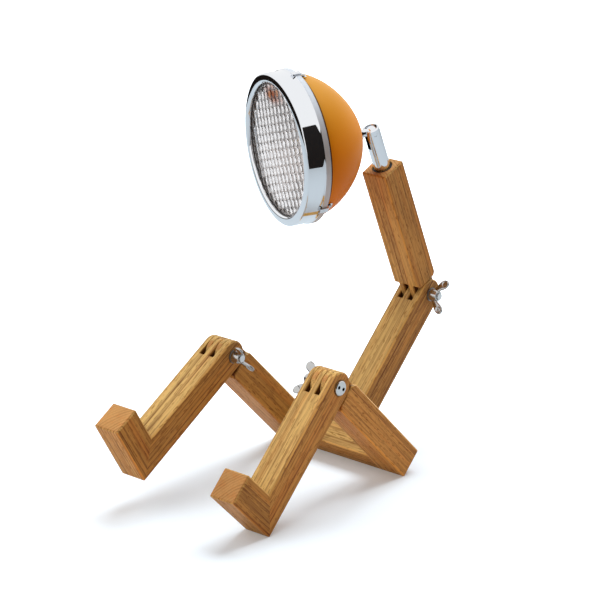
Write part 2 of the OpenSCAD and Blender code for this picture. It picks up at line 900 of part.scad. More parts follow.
module rim_clips() {
    foot_y = shell_r + outer_seat_gap;
    top_y = flange_r + outer_seat_gap;
    back = -outer_seat_gap;
    hook_z = flange_length + flange_step + outer_seat_gap;
    color(chrome) at_lamp() for (i = [0 : 2]) {
        at_clip(i) difference() {
            along_x(clip_w) polygon([
                [foot_y, back - clip_t - clip_foot], [foot_y + clip_t, back - clip_t - clip_foot],
                [foot_y + clip_t, back - clip_t], [top_y + clip_t, back - clip_t],
                [top_y + clip_t, hook_z + clip_t], [top_y - flange_step / 2, hook_z + clip_t],
                [top_y - flange_step / 2, hook_z], [top_y, hook_z], [top_y, back], [foot_y, back]
            ]);
            clip_screw_place() cylinder(d = clip_screw_d + 2 * glue_gap, h = 4 * clip_t, center = true);
        }
    }
}

module clip_screws() {
    head_h = 1;
    bite = 3 * shell_t;
    color(steel) at_lamp() for (i = [0 : 2]) {
        at_clip(i) clip_screw_place() {
            translate([0, 0, -bite]) cylinder(d = clip_screw_d, h = clip_t + bite);
            translate([0, 0, clip_t]) cylinder(d = clip_head_d, h = head_h);
        }
    }
}

module lens() {
    crown = (opening_r * opening_r + lens_bulge * lens_bulge) / (2 * lens_bulge);
    edge_angle = asin(opening_r / crown);
    front = arc([0, lens_front_z + lens_bulge - crown], crown, 90 - edge_angle, 90, 12);
    back = arc([0, lens_back_z + lens_bulge - crown], crown, 90, 90 - edge_angle, 12);
    color([0.86, 0.88, 0.90, 0.6]) at_lamp() rotate_extrude() polygon(concat(
        [[lens_r, lens_back_z], [lens_r, lens_front_z]], front, back
    ));
}

module lens_gasket() {
    color(black) at_lamp() rotate_extrude() polygon([
        [gasket_r, lens_back_z], [gasket_r, lens_front_z + gasket_t],
        [opening_r + outer_seat_gap, lens_front_z + gasket_t], [opening_r + outer_seat_gap, lens_front_z],
        [gasket_r - gasket_t, lens_front_z], [gasket_r - gasket_t, lens_back_z]
    ]);
}

// A paraboloid with a flat floor and an outer flange.
module reflector() {
    steps = 16;
    bowl = [
        for (i = [0 : steps])
            let (r = floor_r + (bowl_r - floor_r) * i / steps)
            [r, floor_z + (r * r - floor_r * floor_r) / focal_4]
    ];
    to_back = reflector_t * [0.6, -0.8];
    back = [for (p = bowl) p + to_back];
    color(chrome) at_lamp() difference() {
        rotate_extrude() polygon(concat(
            [[emitter_hole_r, floor_z]], bowl, [[bowl_r, lens_back_z], [lens_r, lens_back_z]],
            [[lens_r, flange_back_z], [bowl_r + reflector_t, flange_back_z]],
            [for (i = [steps - 1 : -1 : 0]) back[i]],
            [[floor_r, floor_back_z], [emitter_hole_r, floor_back_z]]
        ));
        led_screw_places() cylinder(d = screw_d + 2 * glue_gap, h = 3 * reflector_t, center = true);
    }
}

// ---------------------------------------------------------------- light unit

module led_screw_places() {
    for (i = [0 : 2]) {
        rotate([0, 0, 60 + 120 * i]) translate([0, led_screw_r, floor_z]) children();
    }
}

module lead_places() {
    for (s = [-1, 1]) {
        translate([s * lead_place[0], lead_place[1], 0]) children();
    }
}

module standoff_places() {
    for (s = [-1, 1]) {
        translate([s * standoff_spacing / 2, 0, 0]) children();
    }
}

module led_board() {
    color([0.93, 0.93, 0.90]) at_lamp() difference() {
        translate([0, 0, floor_back_z - board_t]) cylinder(d = led_board_d, h = board_t);
        led_screw_places() translate([0, 0, -reflector_t - board_t - past])
            cylinder(d = screw_d + 2 * glue_gap, h = board_t + 2 * past);
    }
}

module led_emitter() {
    color([0.95, 0.85, 0.35]) at_lamp() translate([0, 0, floor_back_z])
        cylinder(d = emitter_d, h = emitter_t);
}

module led_screws() {
    color(steel) at_lamp() led_screw_places() {
        cylinder(d = screw_head_d, h = screw_head_h);
        translate([0, 0, -reflector_t - board_t - sink_base + past])
            cylinder(d = screw_d, h = reflector_t + board_t + sink_base);
    }
}

module heat_sink() {
    color([0.70, 0.71, 0.73]) at_lamp() difference() {
        union() {
            translate([0, 0, sink_base_z]) cylinder(d = sink_d, h = sink_base);
            for (i = [-fin_rows : fin_rows]) {
                reach = sqrt(pow(sink_d / 2 - past, 2) - pow(abs(i) * fin_pitch + fin_t / 2, 2));
                translate([i * fin_pitch - fin_t / 2, -reach, fin_end_z])
                    cube([fin_t, 2 * reach, sink_base_z - fin_end_z + past]);
            }
        }
        led_screw_places() translate([0, 0, -reflector_t - board_t - sink_base])
            cylinder(d = screw_d + 2 * glue_gap, h = sink_base + past);
        lead_places() translate([0, 0, sink_base_z - past])
            cylinder(d = lead_d + 2 * hole_gap, h = sink_base + 2 * past);
    }
}

module driver_standoffs() {
    color(brass) at_lamp() standoff_places() difference() {
        translate([0, 0, driver_front_z]) cylinder(d = standoff_d, h = sink_base_z - driver_front_z);
        translate([0, 0, driver_front_z - past])
            cylinder(d = screw_d + 2 * glue_gap, h = driver_screw_reach + 2 * past);
    }
}

module driver_board() {
    color([0.15, 0.40, 0.22]) at_lamp() difference() {
        union() {
            translate([-driver_length / 2, -driver_width / 2, driver_back_z])
                cube([driver_length, driver_width, board_t]);
            translate([transformer_corner[0], transformer_corner[1], driver_front_z - past])
                cube([transformer_size[0], transformer_size[1], component_h + past]);
            for (c = capacitors) {
                translate([c[0], c[1], driver_front_z - past]) cylinder(d = c[2], h = component_h + past);
            }
        }
        standoff_places() translate([0, 0, driver_back_z - past])
            cylinder(d = screw_d + 2 * glue_gap, h = board_t + 2 * past);
    }
}

module driver_screws() {
    color(steel) at_lamp() standoff_places() {
        translate([0, 0, driver_back_z - screw_head_h]) cylinder(d = screw_head_d, h = screw_head_h);
        translate([0, 0, driver_back_z - past])
            cylinder(d = screw_d, h = board_t + driver_screw_reach + past);
    }
}

module terminal_block() {
    wells = 2;
    well_d = 2;
    well_depth = 1.5;
    pitch = terminal_size[0] / wells;
    color([0.90, 0.90, 0.86]) at_lamp()
        translate([terminal_centre[0], terminal_centre[1], driver_front_z]) difference() {
            translate([-terminal_size[0] / 2, -terminal_size[1] / 2, 0]) cube(terminal_size);
            for (i = [0 : wells - 1]) {
                translate([(i - (wells - 1) / 2) * pitch, 0, terminal_size[2] - well_depth])
                    cylinder(d = well_d, h = well_depth + past);
            }
        }
}

module led_leads() {
    color([0.80, 0.15, 0.12]) at_lamp() lead_places() translate([0, 0, driver_front_z])
        cylinder(d = lead_d, h = sink_front_z - driver_front_z, $fn = 24);
}

// Two leads: straight out of the switch, then to the outer side of the terminal block.
module switch_leads() {
    spread = 2;
    straight = 3;
    bend_d = lead_d + 0.2;
    switch_end = -switch_base - switch_length;
    wall = terminal_centre[0] - terminal_size[0] / 2;
    color([0.10, 0.10, 0.12]) at_lamp() for (s = [-1, 1]) {
        root = over_dome(switch_angle, s * spread, switch_end);
        turn = over_dome(switch_angle, s * spread, switch_end - straight);
        end = [wall - lead_d / 2, terminal_centre[1] + s * spread, driver_front_z + component_h / 2];
        rod(root, turn, lead_d);
        translate(turn) sphere(d = bend_d, $fn = 24);
        rod(turn, end, lead_d);
    }
}

// ---------------------------------------------------------------- switch and cord inlet

module switch_body() {
    end_gap = 0.3;
    well = button_grip + button_travel + end_gap;
    color(black) at_lamp() on_dome(switch_angle) difference() {
        union() {
            translate([0, 0, -switch_base - switch_length]) cylinder(d = switch_d, h = switch_length);
            translate([0, 0, -switch_base - past]) cylinder(d = neck_d, h = switch_base + neck_length + past);
        }
        translate([0, 0, neck_length - well])
            cylinder(d = button_d + 2 * button_clearance, h = well + past);
    }
}

module switch_nut() {
    color(chrome) at_lamp() on_dome(switch_angle) translate([0, 0, outer_seat_gap]) difference() {
        cylinder(d = switch_nut_af / cos(30), h = switch_nut_t, $fn = 6);
        translate([0, 0, -past]) cylinder(d = neck_d + 2 * glue_gap, h = switch_nut_t + 2 * past);
    }
}

module switch_button() {
    bevel = 0.5;
    length = button_grip + button_rise;
    color(chrome) at_lamp() on_dome(switch_angle) translate([0, 0, neck_length - button_grip])
        rotate_extrude() polygon([
            [0, 0], [button_d / 2, 0], [button_d / 2, length - bevel],
            [button_d / 2 - bevel, length], [0, length]
        ]);
}

module cord_grommet() {
    outer = [outer_seat_gap, outer_seat_gap + grommet_flange];
    inner = [-shell_t - inner_seat_gap, -shell_t - inner_seat_gap - grommet_flange];
    groove = grommet_groove_d / 2;
    bevel = 0.5;
    color(black) at_lamp() on_dome(inlet_angle) rotate_extrude() polygon([
        [grommet_bore / 2, inner[1]], [grommet_d / 2, inner[1]], [grommet_d / 2, inner[0]],
        [groove, inner[0]], [groove, outer[0]], [grommet_d / 2, outer[0]],
        [grommet_d / 2, outer[1] - bevel], [grommet_d / 2 - bevel, outer[1]],
        [grommet_bore / 2, outer[1]]
    ]);
}

// ---------------------------------------------------------------- what is drawn

hip_crossbar();
thigh(LEFT);  // left_thigh
thigh(RIGHT);  // right_thigh
hip_dowels(LEFT);  // left_hip_dowels
hip_dowels(RIGHT);  // right_hip_dowels
torso_bar();
torso_dowels();
neck_bolt();
neck_washer();
neck_wing_nut();
knee_shin(LEFT);  // left_shin
knee_foot(LEFT);  // left_foot
foot_dowels(LEFT);  // left_foot_dowels
knee_bolt(LEFT);  // left_knee_bolt
knee_washer(LEFT);  // left_knee_washer
knee_wing_nut(LEFT);  // left_knee_wing_nut
knee_shin(RIGHT);  // right_shin
knee_foot(RIGHT);  // right_foot
foot_dowels(RIGHT);  // right_foot_dowels
knee_bolt(RIGHT);  // right_knee_bolt
knee_washer(RIGHT);  // right_knee_washer
knee_wing_nut(RIGHT);  // right_knee_wing_nut
chest_bar();
pan_insert();
pan_washer();
swivel_post();
tilt_pin();
ball_stud();
stem_washer();
stem_nut();
lamp_shell();
lamp_rim();
rim_clips();
clip_screws();
lens();
lens_gasket();
reflector();
led_board();
led_emitter();
led_screws();
heat_sink();
driver_standoffs();
driver_board();
driver_screws();
terminal_block();
led_leads();
switch_leads();
switch_body();
switch_nut();
switch_button();
cord_grommet();
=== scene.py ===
"""Looks of a desk lamp shaped like a seated robot: oiled hardwood bars, an amber headlamp with a
chrome rim and a fluted lens, bright wing nuts, and the studio that they stand in.

The sizes and colours are in three property groups, and each piece or finish has an operator."""

import json
import math
from collections import namedtuple

import bmesh
import bpy
import numpy as np
from mathutils import Matrix, Vector

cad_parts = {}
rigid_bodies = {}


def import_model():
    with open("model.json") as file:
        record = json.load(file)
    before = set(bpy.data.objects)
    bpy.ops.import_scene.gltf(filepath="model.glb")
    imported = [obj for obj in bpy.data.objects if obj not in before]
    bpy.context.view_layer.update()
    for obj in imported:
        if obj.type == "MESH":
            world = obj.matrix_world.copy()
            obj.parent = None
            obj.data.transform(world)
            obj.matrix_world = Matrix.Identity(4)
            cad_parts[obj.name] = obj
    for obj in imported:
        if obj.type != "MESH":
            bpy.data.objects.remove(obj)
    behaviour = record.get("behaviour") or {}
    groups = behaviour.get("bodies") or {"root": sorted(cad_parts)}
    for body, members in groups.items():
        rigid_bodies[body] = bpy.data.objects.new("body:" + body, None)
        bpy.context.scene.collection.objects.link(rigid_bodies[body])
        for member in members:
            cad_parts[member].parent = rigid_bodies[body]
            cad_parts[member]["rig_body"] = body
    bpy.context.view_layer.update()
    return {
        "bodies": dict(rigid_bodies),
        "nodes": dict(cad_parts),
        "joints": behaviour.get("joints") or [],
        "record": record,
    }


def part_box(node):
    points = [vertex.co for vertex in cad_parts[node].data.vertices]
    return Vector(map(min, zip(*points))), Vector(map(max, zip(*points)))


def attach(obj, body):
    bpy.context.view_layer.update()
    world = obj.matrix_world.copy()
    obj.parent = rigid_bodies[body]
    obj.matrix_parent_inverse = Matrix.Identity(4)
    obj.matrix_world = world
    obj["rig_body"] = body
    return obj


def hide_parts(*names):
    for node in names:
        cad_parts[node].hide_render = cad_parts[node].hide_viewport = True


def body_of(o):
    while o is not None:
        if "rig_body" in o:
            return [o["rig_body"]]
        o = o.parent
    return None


bl_info = {
    "name": "Seated robot desk lamp",
    "version": (1, 0, 0),
    "blender": (4, 5, 0),
    "location": "View3D > Sidebar > Robot Lamp",
    "description": "Finishes and fine pieces of a wooden robot lamp",
    "category": "Object",
}

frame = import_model()
NODES = frame["nodes"]
JOINTS = {joint["name"]: joint for joint in frame["joints"]}
MM = 0.001

# Angles of the pose in degrees: the lean of the thighs and the trunk, and the bends of two joints.
SEAT_LEAN = 45.0
NECK_BEND = 68.0
RIGHT_KNEE_BEND = 76.0
RIGHT_SHIN_LEAN = RIGHT_KNEE_BEND - 90.0 - SEAT_LEAN
# Grain of a bar: its lean about the X axis from upright in degrees, the place of the heart of the tree
# beside the bar, in millimetres across and through it, how pale the bar is, and how dark its growth
# lines are.
Bar = namedtuple("Bar", "lean heart pale lines")
BARS = {
    "left_thigh": Bar(SEAT_LEAN, (78.0, 30.0), 1.16, 0.7),
    "right_thigh": Bar(SEAT_LEAN, (-70.0, 42.0), 0.98, 0.25),
    "torso_bar": Bar(-SEAT_LEAN, (64.0, -70.0), 0.92, 0.9),
    "chest_bar": Bar(NECK_BEND - SEAT_LEAN, (52.0, 66.0), 0.94, 0.8),
    "left_shin": Bar(-SEAT_LEAN, (60.0, 75.0), 1.06, 0.8),
    "right_shin": Bar(RIGHT_SHIN_LEAN, (-52.0, 78.0), 1.0, 1.2),
    "left_foot": Bar(-SEAT_LEAN - 90.0, (41.0, 36.0), 0.92, 0.8),
    "right_foot": Bar(RIGHT_SHIN_LEAN - 90.0, (44.0, 30.0), 1.0, 0.8),
}
DOWELS = [part + "_dowels" for part in ("left_hip", "right_hip", "torso", "left_foot", "right_foot")]
# Each clamped pivot: the side of its wing nut along X, and two angles about the X axis from +Y in
# degrees, of the nut's wings and of the line through the driving holes of its bolt's head.
PIVOTS = {"neck": (1, 68.0, -62.0), "left_knee": (-1, 46.0, -28.0), "right_knee": (1, 126.0, -76.0)}
# Holes of the shell for the cord inlet and the switch: turn from the top in degrees, and radius in
# millimetres.
SHELL_HOLES = ((125, 4.0), (70, 3.5))

# Point that the camera and the lamps face.
VIEW_MIDDLE = Vector((5.224, -50.0, 131.962)) * MM
# Dark cards of the studio: x and the corners (y, z), and the rounding of the corners, in metres.
CARDS = {
    "Side card": (0.62, [(-1.2, 0.05), (0.36, 0.05), (0.36, 0.80), (-1.2, 0.80)]),
    "Far card": (-0.75, [(-1.2, 0.05), (0.27, 0.07), (0.30, 0.22), (-0.2, 0.28), (-1.2, 0.50)]),
}
CARD_ROUNDING = 0.04


def length(name, description, default):
    """A size in metres, written in millimetres."""
    return bpy.props.FloatProperty(
        name=name, description=description, default=default * MM, unit="LENGTH", precision=5
    )


def number(name, description, default):
    """A number whose unit, if it has one, is in its description."""
    return bpy.props.FloatProperty(name=name, description=description, default=default)


def angle(name, description, default):
    """An angle, written in degrees."""
    return bpy.props.FloatProperty(
        name=name, description=description, default=math.radians(default), subtype="ANGLE"
    )


def colour(name, description, default):
    """A linear colour without alpha."""
    return bpy.props.FloatVectorProperty(
        name=name, description=description, default=default, size=3, subtype="COLOR", min=0, max=1
    )


class RobotLampSizes(bpy.types.PropertyGroup):
    """Sizes of the pieces that are modelled here."""

    head_tilt: angle("Head tilt", "Lift of the face above square to the post", 17.0)
    stem_reach: length("Stem reach", "Tilt pin to the back of the headlamp", 10.8)
    shell_radius: length("Shell radius", "Radius of the shell at its mouth", 51.5)
    shell_depth: length("Shell depth", "Depth of the dome behind the mouth", 46.0)
    dome_power: number("Dome power", "Fullness of the dome: 2 is an ellipse", 1.69)
    seat_radius: length("Seat radius", "Radius of the flat at the back of the dome", 6.5)
    shell_wall: length("Shell wall", "Thickness of the shell", 0.8)
    shell_front: length("Shell front", "Front edge of the shell beyond the mouth", 11.0)
    rim_length: length("Rim length", "Rear face of the rim to its front", 18.0)
    flange_radius: length("Flange radius", "Radius of the rim's rear flange", 54.75)
    flange_length: length("Flange length", "Length of the rear flange", 4.0)
    band_radius: length("Band radius", "Radius of the rim's band", 53.9)
    opening_radius: length("Opening radius", "Radius of the opening in the rim", 47.2)
    roll_width: length("Roll width", "Reach of the rim's rolled front, inward", 5.0)
    roll_depth: length("Roll depth", "Reach of the rim's rolled front, backward", 1.6)
    lip_setback: length("Lip setback", "Depth of the opening's edge behind the front", 1.5)
    rim_wall: length("Rim wall", "Thickness of the rim's metal", 0.8)
    lens_radius: length("Lens radius", "Radius of the lens over its edge", 52.7)
    lens_back: length("Lens back", "Rear face of the lens from the mouth", 12.1)
    lens_wall: length("Lens wall", "Thickness of the lens", 3.0)
    lens_bulge: length("Lens bulge", "Bulge of the lens", 2.2)
    flute_width: length("Flute width", "Width of a flute of the lens", 6.4)
    flute_height: length("Flute height", "Height of a row of flutes", 5.9)
    flute_relief: length("Flute relief", "Height of a flute's crown over its edges", 0.9)
    lens_turn: angle("Lens turn", "Turn of the rows of flutes about the lamp's axis", 26.7)


class RobotLampColours(bpy.types.PropertyGroup):
    """Colours of the finishes."""

    timber_pale: colour("Pale timber", "Early wood between the growth lines", (0.64, 0.44, 0.155))
    timber_dark: colour("Dark timber", "Late wood in the growth lines", (0.16, 0.060, 0.016))
    enamel: colour("Enamel", "Amber enamel of the shell", (0.76, 0.295, 0.007))
    # Painted highlight: the paler enamel toward the top of the shell stands for the sheen there.
    painted_top_sheen: colour("Enamel with painted top sheen", "Paler enamel toward the top of the shell", (0.47, 0.235, 0.03))
    chrome: colour("Chrome", "Polished plate", (0.84, 0.86, 0.89))
    rolled: colour("Rolled edge", "Duller plate of the rim's rear flange", (0.56, 0.62, 0.69))
    nickel: colour("Nickel", "Bright tumbled metal of bolts and nuts", (0.56, 0.555, 0.54))
    brass: colour("Brass", "Turned brass", (0.74, 0.55, 0.22))
    glass: colour("Glass", "Pressed glass of the lens", (0.64, 0.62, 0.615))
    # Painted reflection: a brown patch painted on the glass near the top of the lens.
    painted_reflection: colour("Painted reflection", "Brown tint at the top of the lens", (0.24, 0.06, 0.02))
    mirror: colour("Mirror", "Bright metal of the reflector", (0.62, 0.59, 0.58))
    rubber: colour("Rubber", "Black rubber and fibre", (0.018, 0.018, 0.019))


class RobotLampStudio(bpy.types.PropertyGroup):
    """Camera, lamps and backdrop."""

    azimuth: angle("Azimuth", "Turn of the camera from looking along +Y", 41.305)
    elevation: angle("Elevation", "Height of the camera above the horizon", 18.333)
    distance: length("Distance", "Camera to the middle of the lamp", 1794.06)
    focal: number("Focal length", "Lens on a sensor 36 mm wide", 155.58)
    ambient: number("Ambient", "Level of the light from all around", 0.25)
    warmth: colour("Warmth", "Colour of the light from all around", (1.0, 0.67, 0.47))
    key: number("Key", "Power of the soft lamp in front, in watts", 44.0)
    top: number("Top", "Power of the soft lamp overhead, in watts", 42.0)


def sizes():
    """The sizes of the scene."""
    return bpy.context.scene.robot_lamp_sizes


def colours():
    """The colours of the scene."""
    return bpy.context.scene.robot_lamp_colours


# -------- places


def head_frame():
    """The lamp's frame as a matrix: +Z out of the lens, +Y up and z = 0 at the mouth of the shell. It
    starts at the tilt pin, where the post's axis and the pin's axis give the post's directions, and
    leans back by the tilt about the pin."""
    tilt = sizes().head_tilt
    across = Vector(JOINTS["head_tilt"]["axis"]).normalized()
    post = Vector(JOINTS["head_pan"]["axis"]).normalized()
    behind = post.cross(across)
    up = post * math.cos(tilt) + behind * math.sin(tilt)
    out = -(behind * math.cos(tilt) - post * math.sin(tilt))
    origin = Vector(JOINTS["head_tilt"]["pos_m"]) + out * (sizes().stem_reach + sizes().shell_depth)
    turn = Matrix((across, up, out)).transposed().to_4x4()
    return Matrix.Translation(origin) @ turn


def dome_place(turn, at=math.radians(50)):
    """A place on the dome in the lamp's frame: the point of the superellipse at parameter at, turned
    about the axis by turn from straight up."""
    s = sizes()
    radius = s.shell_radius * math.sin(at) ** (2 / s.dome_power)
    back = s.shell_depth * math.cos(at) ** (2 / s.dome_power)
    return Vector((-radius * math.sin(turn), radius * math.cos(turn), -back))


# -------- surfaces


def grid_faces(rows, columns, wrap_rows=False, wrap_columns=True):
    """Quads of a grid of points, numbered row by row, that may close on itself either way."""
    r = np.arange(rows if wrap_rows else rows - 1)
    c = np.arange(columns if wrap_columns else columns - 1)
    r, c = (a.ravel() for a in np.meshgrid(r, c, indexing="ij"))
    r2, c2 = (r + 1) % rows, (c + 1) % columns
    return np.stack([r * columns + c, r * columns + c2, r2 * columns + c2, r2 * columns + c], 1)


def revolve(profile, steps):
    """Points of a turned shape: each profile point (radius, height) becomes a circle
    (radius cos a, radius sin a, height), with a in equal steps."""
    a = np.linspace(0, 2 * np.pi, steps, endpoint=False)
    radius = profile[:, :1]
    height = np.broadcast_to(profile[:, 1:], (len(profile), steps))
    return np.stack([radius * np.cos(a), radius * np.sin(a), height], 2).reshape(-1, 3)


def turned(profile, steps):
    """Points and faces of a turned shape whose profile closes on itself."""
    return revolve(profile, steps), grid_faces(len(profile), steps, wrap_rows=True)


def rounded(corners, radii, steps):
    """A closed outline with its corners rounded: each corner c gives way to the parabola
    (1-t)^2 a + 2t(1-t) c + t^2 b, where a and b lie one radius from c along its two edges."""
    c = np.asarray(corners, float)
    radii = np.broadcast_to(np.asarray(radii, float), len(c))
    to_last, to_next = np.roll(c, 1, 0) - c, np.roll(c, -1, 0) - c
    last_run, next_run = np.linalg.norm(to_last, axis=1), np.linalg.norm(to_next, axis=1)
    reach = np.minimum(radii, 0.48 * np.minimum(last_run, next_run))
    a = c + to_last * (reach / last_run)[:, None]
    b = c + to_next * (reach / next_run)[:, None]
    t = np.linspace(0, 1, steps)[None, :, None]
    curve = (1 - t) ** 2 * a[:, None] + 2 * t * (1 - t) * c[:, None] + t**2 * b[:, None]
    return curve.reshape(-1, c.shape[1])


def placed(name, data):
    """An object of the scene that shows the data."""
    shown = bpy.data.objects.new(name, data)
    bpy.context.scene.collection.objects.link(shown)
    return shown


def make_piece(name, points, faces, body, place, sharp):
    """A mesh object from arrays of points and faces, moved out of its own frame by place. Doubles are
    merged, normals turned outward, and edges sharper than the given angle stay crisp."""
    mesh = bpy.data.meshes.new(name)
    mesh.from_pydata(np.asarray(points).tolist(), [], np.asarray(faces).tolist())
    form = bmesh.new()
    form.from_mesh(mesh)
    bmesh.ops.remove_doubles(form, verts=form.verts, dist=1e-6)
    bmesh.ops.recalc_face_normals(form, faces=form.faces)
    form.to_mesh(mesh)
    form.free()
    mesh.transform(place)
    mesh.shade_smooth()
    mesh.set_sharp_from_angle(angle=math.radians(sharp))
    mesh.update()
    piece = placed(name, mesh)
    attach(piece, body)
    return piece


def joined(parts):
    """Points and faces of several grids as one."""
    starts = np.cumsum([0] + [len(points) for points, _ in parts[:-1]])
    points = np.concatenate([points for points, _ in parts])
    faces = np.concatenate([faces + start for (_, faces), start in zip(parts, starts)])
    return points, faces


# -------- node helpers


def new_material(name):
    """An empty node material with its Principled shader and its tree."""
    material = bpy.data.materials.new(name)
    material.use_nodes = True
    tree = material.node_tree
    return material, tree, tree.nodes["Principled BSDF"]


def feed(tree, node, inputs):
    """Gives inputs of a node their values or links."""
    for key, value in inputs.items():
        if isinstance(value, bpy.types.NodeSocket):
            tree.links.new(value, node.inputs[key])
        else:
            node.inputs[key].default_value = value


def add_node(tree, kind, inputs, **settings):
    """A shader node with its settings and the values or links of its inputs."""
    node = tree.nodes.new("ShaderNode" + kind)
    for key, value in settings.items():
        setattr(node, key, value)
    feed(tree, node, inputs)
    return node


def maths(tree, operation, *values):
    """The output of a Math node on sockets or numbers."""
    return add_node(tree, "Math", dict(enumerate(values)), operation=operation).outputs[0]


def vector_maths(tree, operation, *values):
    """The vector output of a Vector Math node on sockets or vectors."""
    return add_node(tree, "VectorMath", dict(enumerate(values)), operation=operation).outputs[0]


def magnitude(tree, vector):
    """The length of a vector."""
    return add_node(tree, "VectorMath", {0: vector}, operation="LENGTH").outputs["Value"]


def hypotenuse(tree, first, second):
    """The root of the sum of the squares of two sockets."""
    return magnitude(tree, add_node(tree, "CombineXYZ", {1: first, 2: second}).outputs[0])


def parted(tree, vector):
    """The three outputs of a Separate XYZ node."""
    return add_node(tree, "SeparateXYZ", {0: vector}).outputs


def blended(tree, factor, first, second, blend="MIX"):
    """The output of a colour mix of two sockets or colours."""
    inputs = {0: factor, 6: first, 7: second}
    return add_node(tree, "Mix", inputs, data_type="RGBA", blend_type=blend).outputs[2]


def ranged(tree, value, low, high, to_low=0.0, to_high=1.0, smooth=False):
    """The output of a Map Range node."""
    kind = "SMOOTHSTEP" if smooth else "LINEAR"
    inputs = {0: value, 1: low, 2: high, 3: to_low, 4: to_high}
    return add_node(tree, "MapRange", inputs, interpolation_type=kind).outputs[0]


def noise(tree, vector, scale, detail):
    """The output of a Noise Texture node."""
    inputs = {"Vector": vector, "Scale": scale, "Detail": detail}
    return add_node(tree, "TexNoise", inputs).outputs["Fac"]


def bump(tree, height, distance, strength):
    """The normal of a Bump node, with its distance in millimetres."""
    inputs = {"Height": height, "Distance": distance * MM, "Strength": strength}
    return add_node(tree, "Bump", inputs).outputs[0]


def new_group(name, inputs, outputs):
    """A shader node group whose inputs and outputs are named by kind: its tree, the sockets that bring
    its inputs, and its output node."""
    tree = bpy.data.node_groups.new(name, "ShaderNodeTree")
    for way, sockets in (("INPUT", inputs), ("OUTPUT", outputs)):
        for kind, labels in sockets.items():
            for label in labels:
                tree.interface.new_socket(label, in_out=way, socket_type="NodeSocket" + kind)
    return tree, tree.nodes.new("NodeGroupInput").outputs, tree.nodes.new("NodeGroupOutput")


def object_vector(tree, place=Vector(), turn=(0, 0, 0)):
    """Object coordinates in millimetres, in the frame at place, turned by turn."""
    source = tree.nodes.new("ShaderNodeTexCoord").outputs["Object"]
    inputs = {"Vector": source, "Location": place, "Rotation": turn, "Scale": (MM, MM, MM)}
    return add_node(tree, "Mapping", inputs, vector_type="TEXTURE").outputs[0]


def lamp_vector(tree):
    """Object coordinates in millimetres, in the lamp's frame."""
    lamp = head_frame()
    return object_vector(tree, lamp.translation, lamp.to_euler("XYZ"))


# -------- node groups


def along_grain(tree, given, scale, along, detail, rough=0.5):
    """Noise of the given scale per millimetre, longer along the grain."""
    place = vector_maths(tree, "MULTIPLY", given["Vector"], (scale, scale, scale * along))
    inputs = {"Vector": place, "W": given["Seed"], "Scale": 1.0, "Detail": detail, "Roughness": rough}
    return add_node(tree, "TexNoise", inputs, noise_dimensions="4D").outputs["Fac"]


def bar_places(tree, given):
    """Masks of a bar's cut ends, of its bevels, which take a painted highlight, and of the insides of its
    slots, which take painted shade. The depth in a slot is the half width less the distance from the
    bar's middle, across the faces or round an end."""
    half_width = given["Half Width"]
    x, y, z = parted(tree, vector_maths(tree, "ABSOLUTE", given["Vector"]))
    to_end = maths(tree, "SUBTRACT", given["Half Length"], z)
    end = ranged(tree, to_end, 0.15, 0.6, 1.0, 0.0, smooth=True)
    # Bevel mask: where a painted highlight makes the wood paler.
    to_edge = maths(tree, "SUBTRACT", half_width, maths(tree, "MINIMUM", x, y))
    edge = ranged(tree, to_edge, 0.8, 1.15, 1.0, 0.0, smooth=True)
    # Slot mask: where painted shade darkens the wood inside the slots.
    past_round = maths(tree, "MAXIMUM", maths(tree, "SUBTRACT", half_width, to_end), 0.0)
    depth = maths(tree, "SUBTRACT", half_width, maths(tree, "MAXIMUM", x, hypotenuse(tree, y, past_round)))
    return end, edge, ranged(tree, depth, 0.5, 2.2, smooth=True)


def growth_lines(tree, given):
    """The place between two growth lines, 0 to 1, and the darkness of the late wood, both in a bar. The
    place is the fraction of the distance from the heart, bent by slow noises, over the ring width. The
    late wood is its power, cut off before the next line and varied from line to line."""
    bend = ranged(tree, along_grain(tree, given, 0.045, 0.10, 1.0), 0.0, 1.0, -2.4, 2.4)
    ripple = ranged(tree, along_grain(tree, given, 0.30, 0.05, 1.0), 0.0, 1.0, -0.3, 0.3)
    across = vector_maths(tree, "MULTIPLY", given["Vector"], (1, 1, 0))
    radius = magnitude(tree, vector_maths(tree, "SUBTRACT", across, given["Heart"]))
    radius = maths(tree, "ADD", maths(tree, "ADD", radius, bend), ripple)
    phase = maths(tree, "DIVIDE", radius, given["Ring Width"])
    ring = maths(tree, "FRACT", phase)
    late = maths(tree, "POWER", ring, 2.6)
    late = maths(tree, "MULTIPLY", late, ranged(tree, ring, 0.86, 1.0, 1.0, 0.0, smooth=True))
    line = maths(tree, "ADD", maths(tree, "FLOOR", phase), given["Seed"])
    vary = add_node(tree, "TexWhiteNoise", {"W": line}, noise_dimensions="1D").outputs["Value"]
    return ring, maths(tree, "MULTIPLY", late, ranged(tree, vary, 0.0, 1.0, 0.3, 1.0))


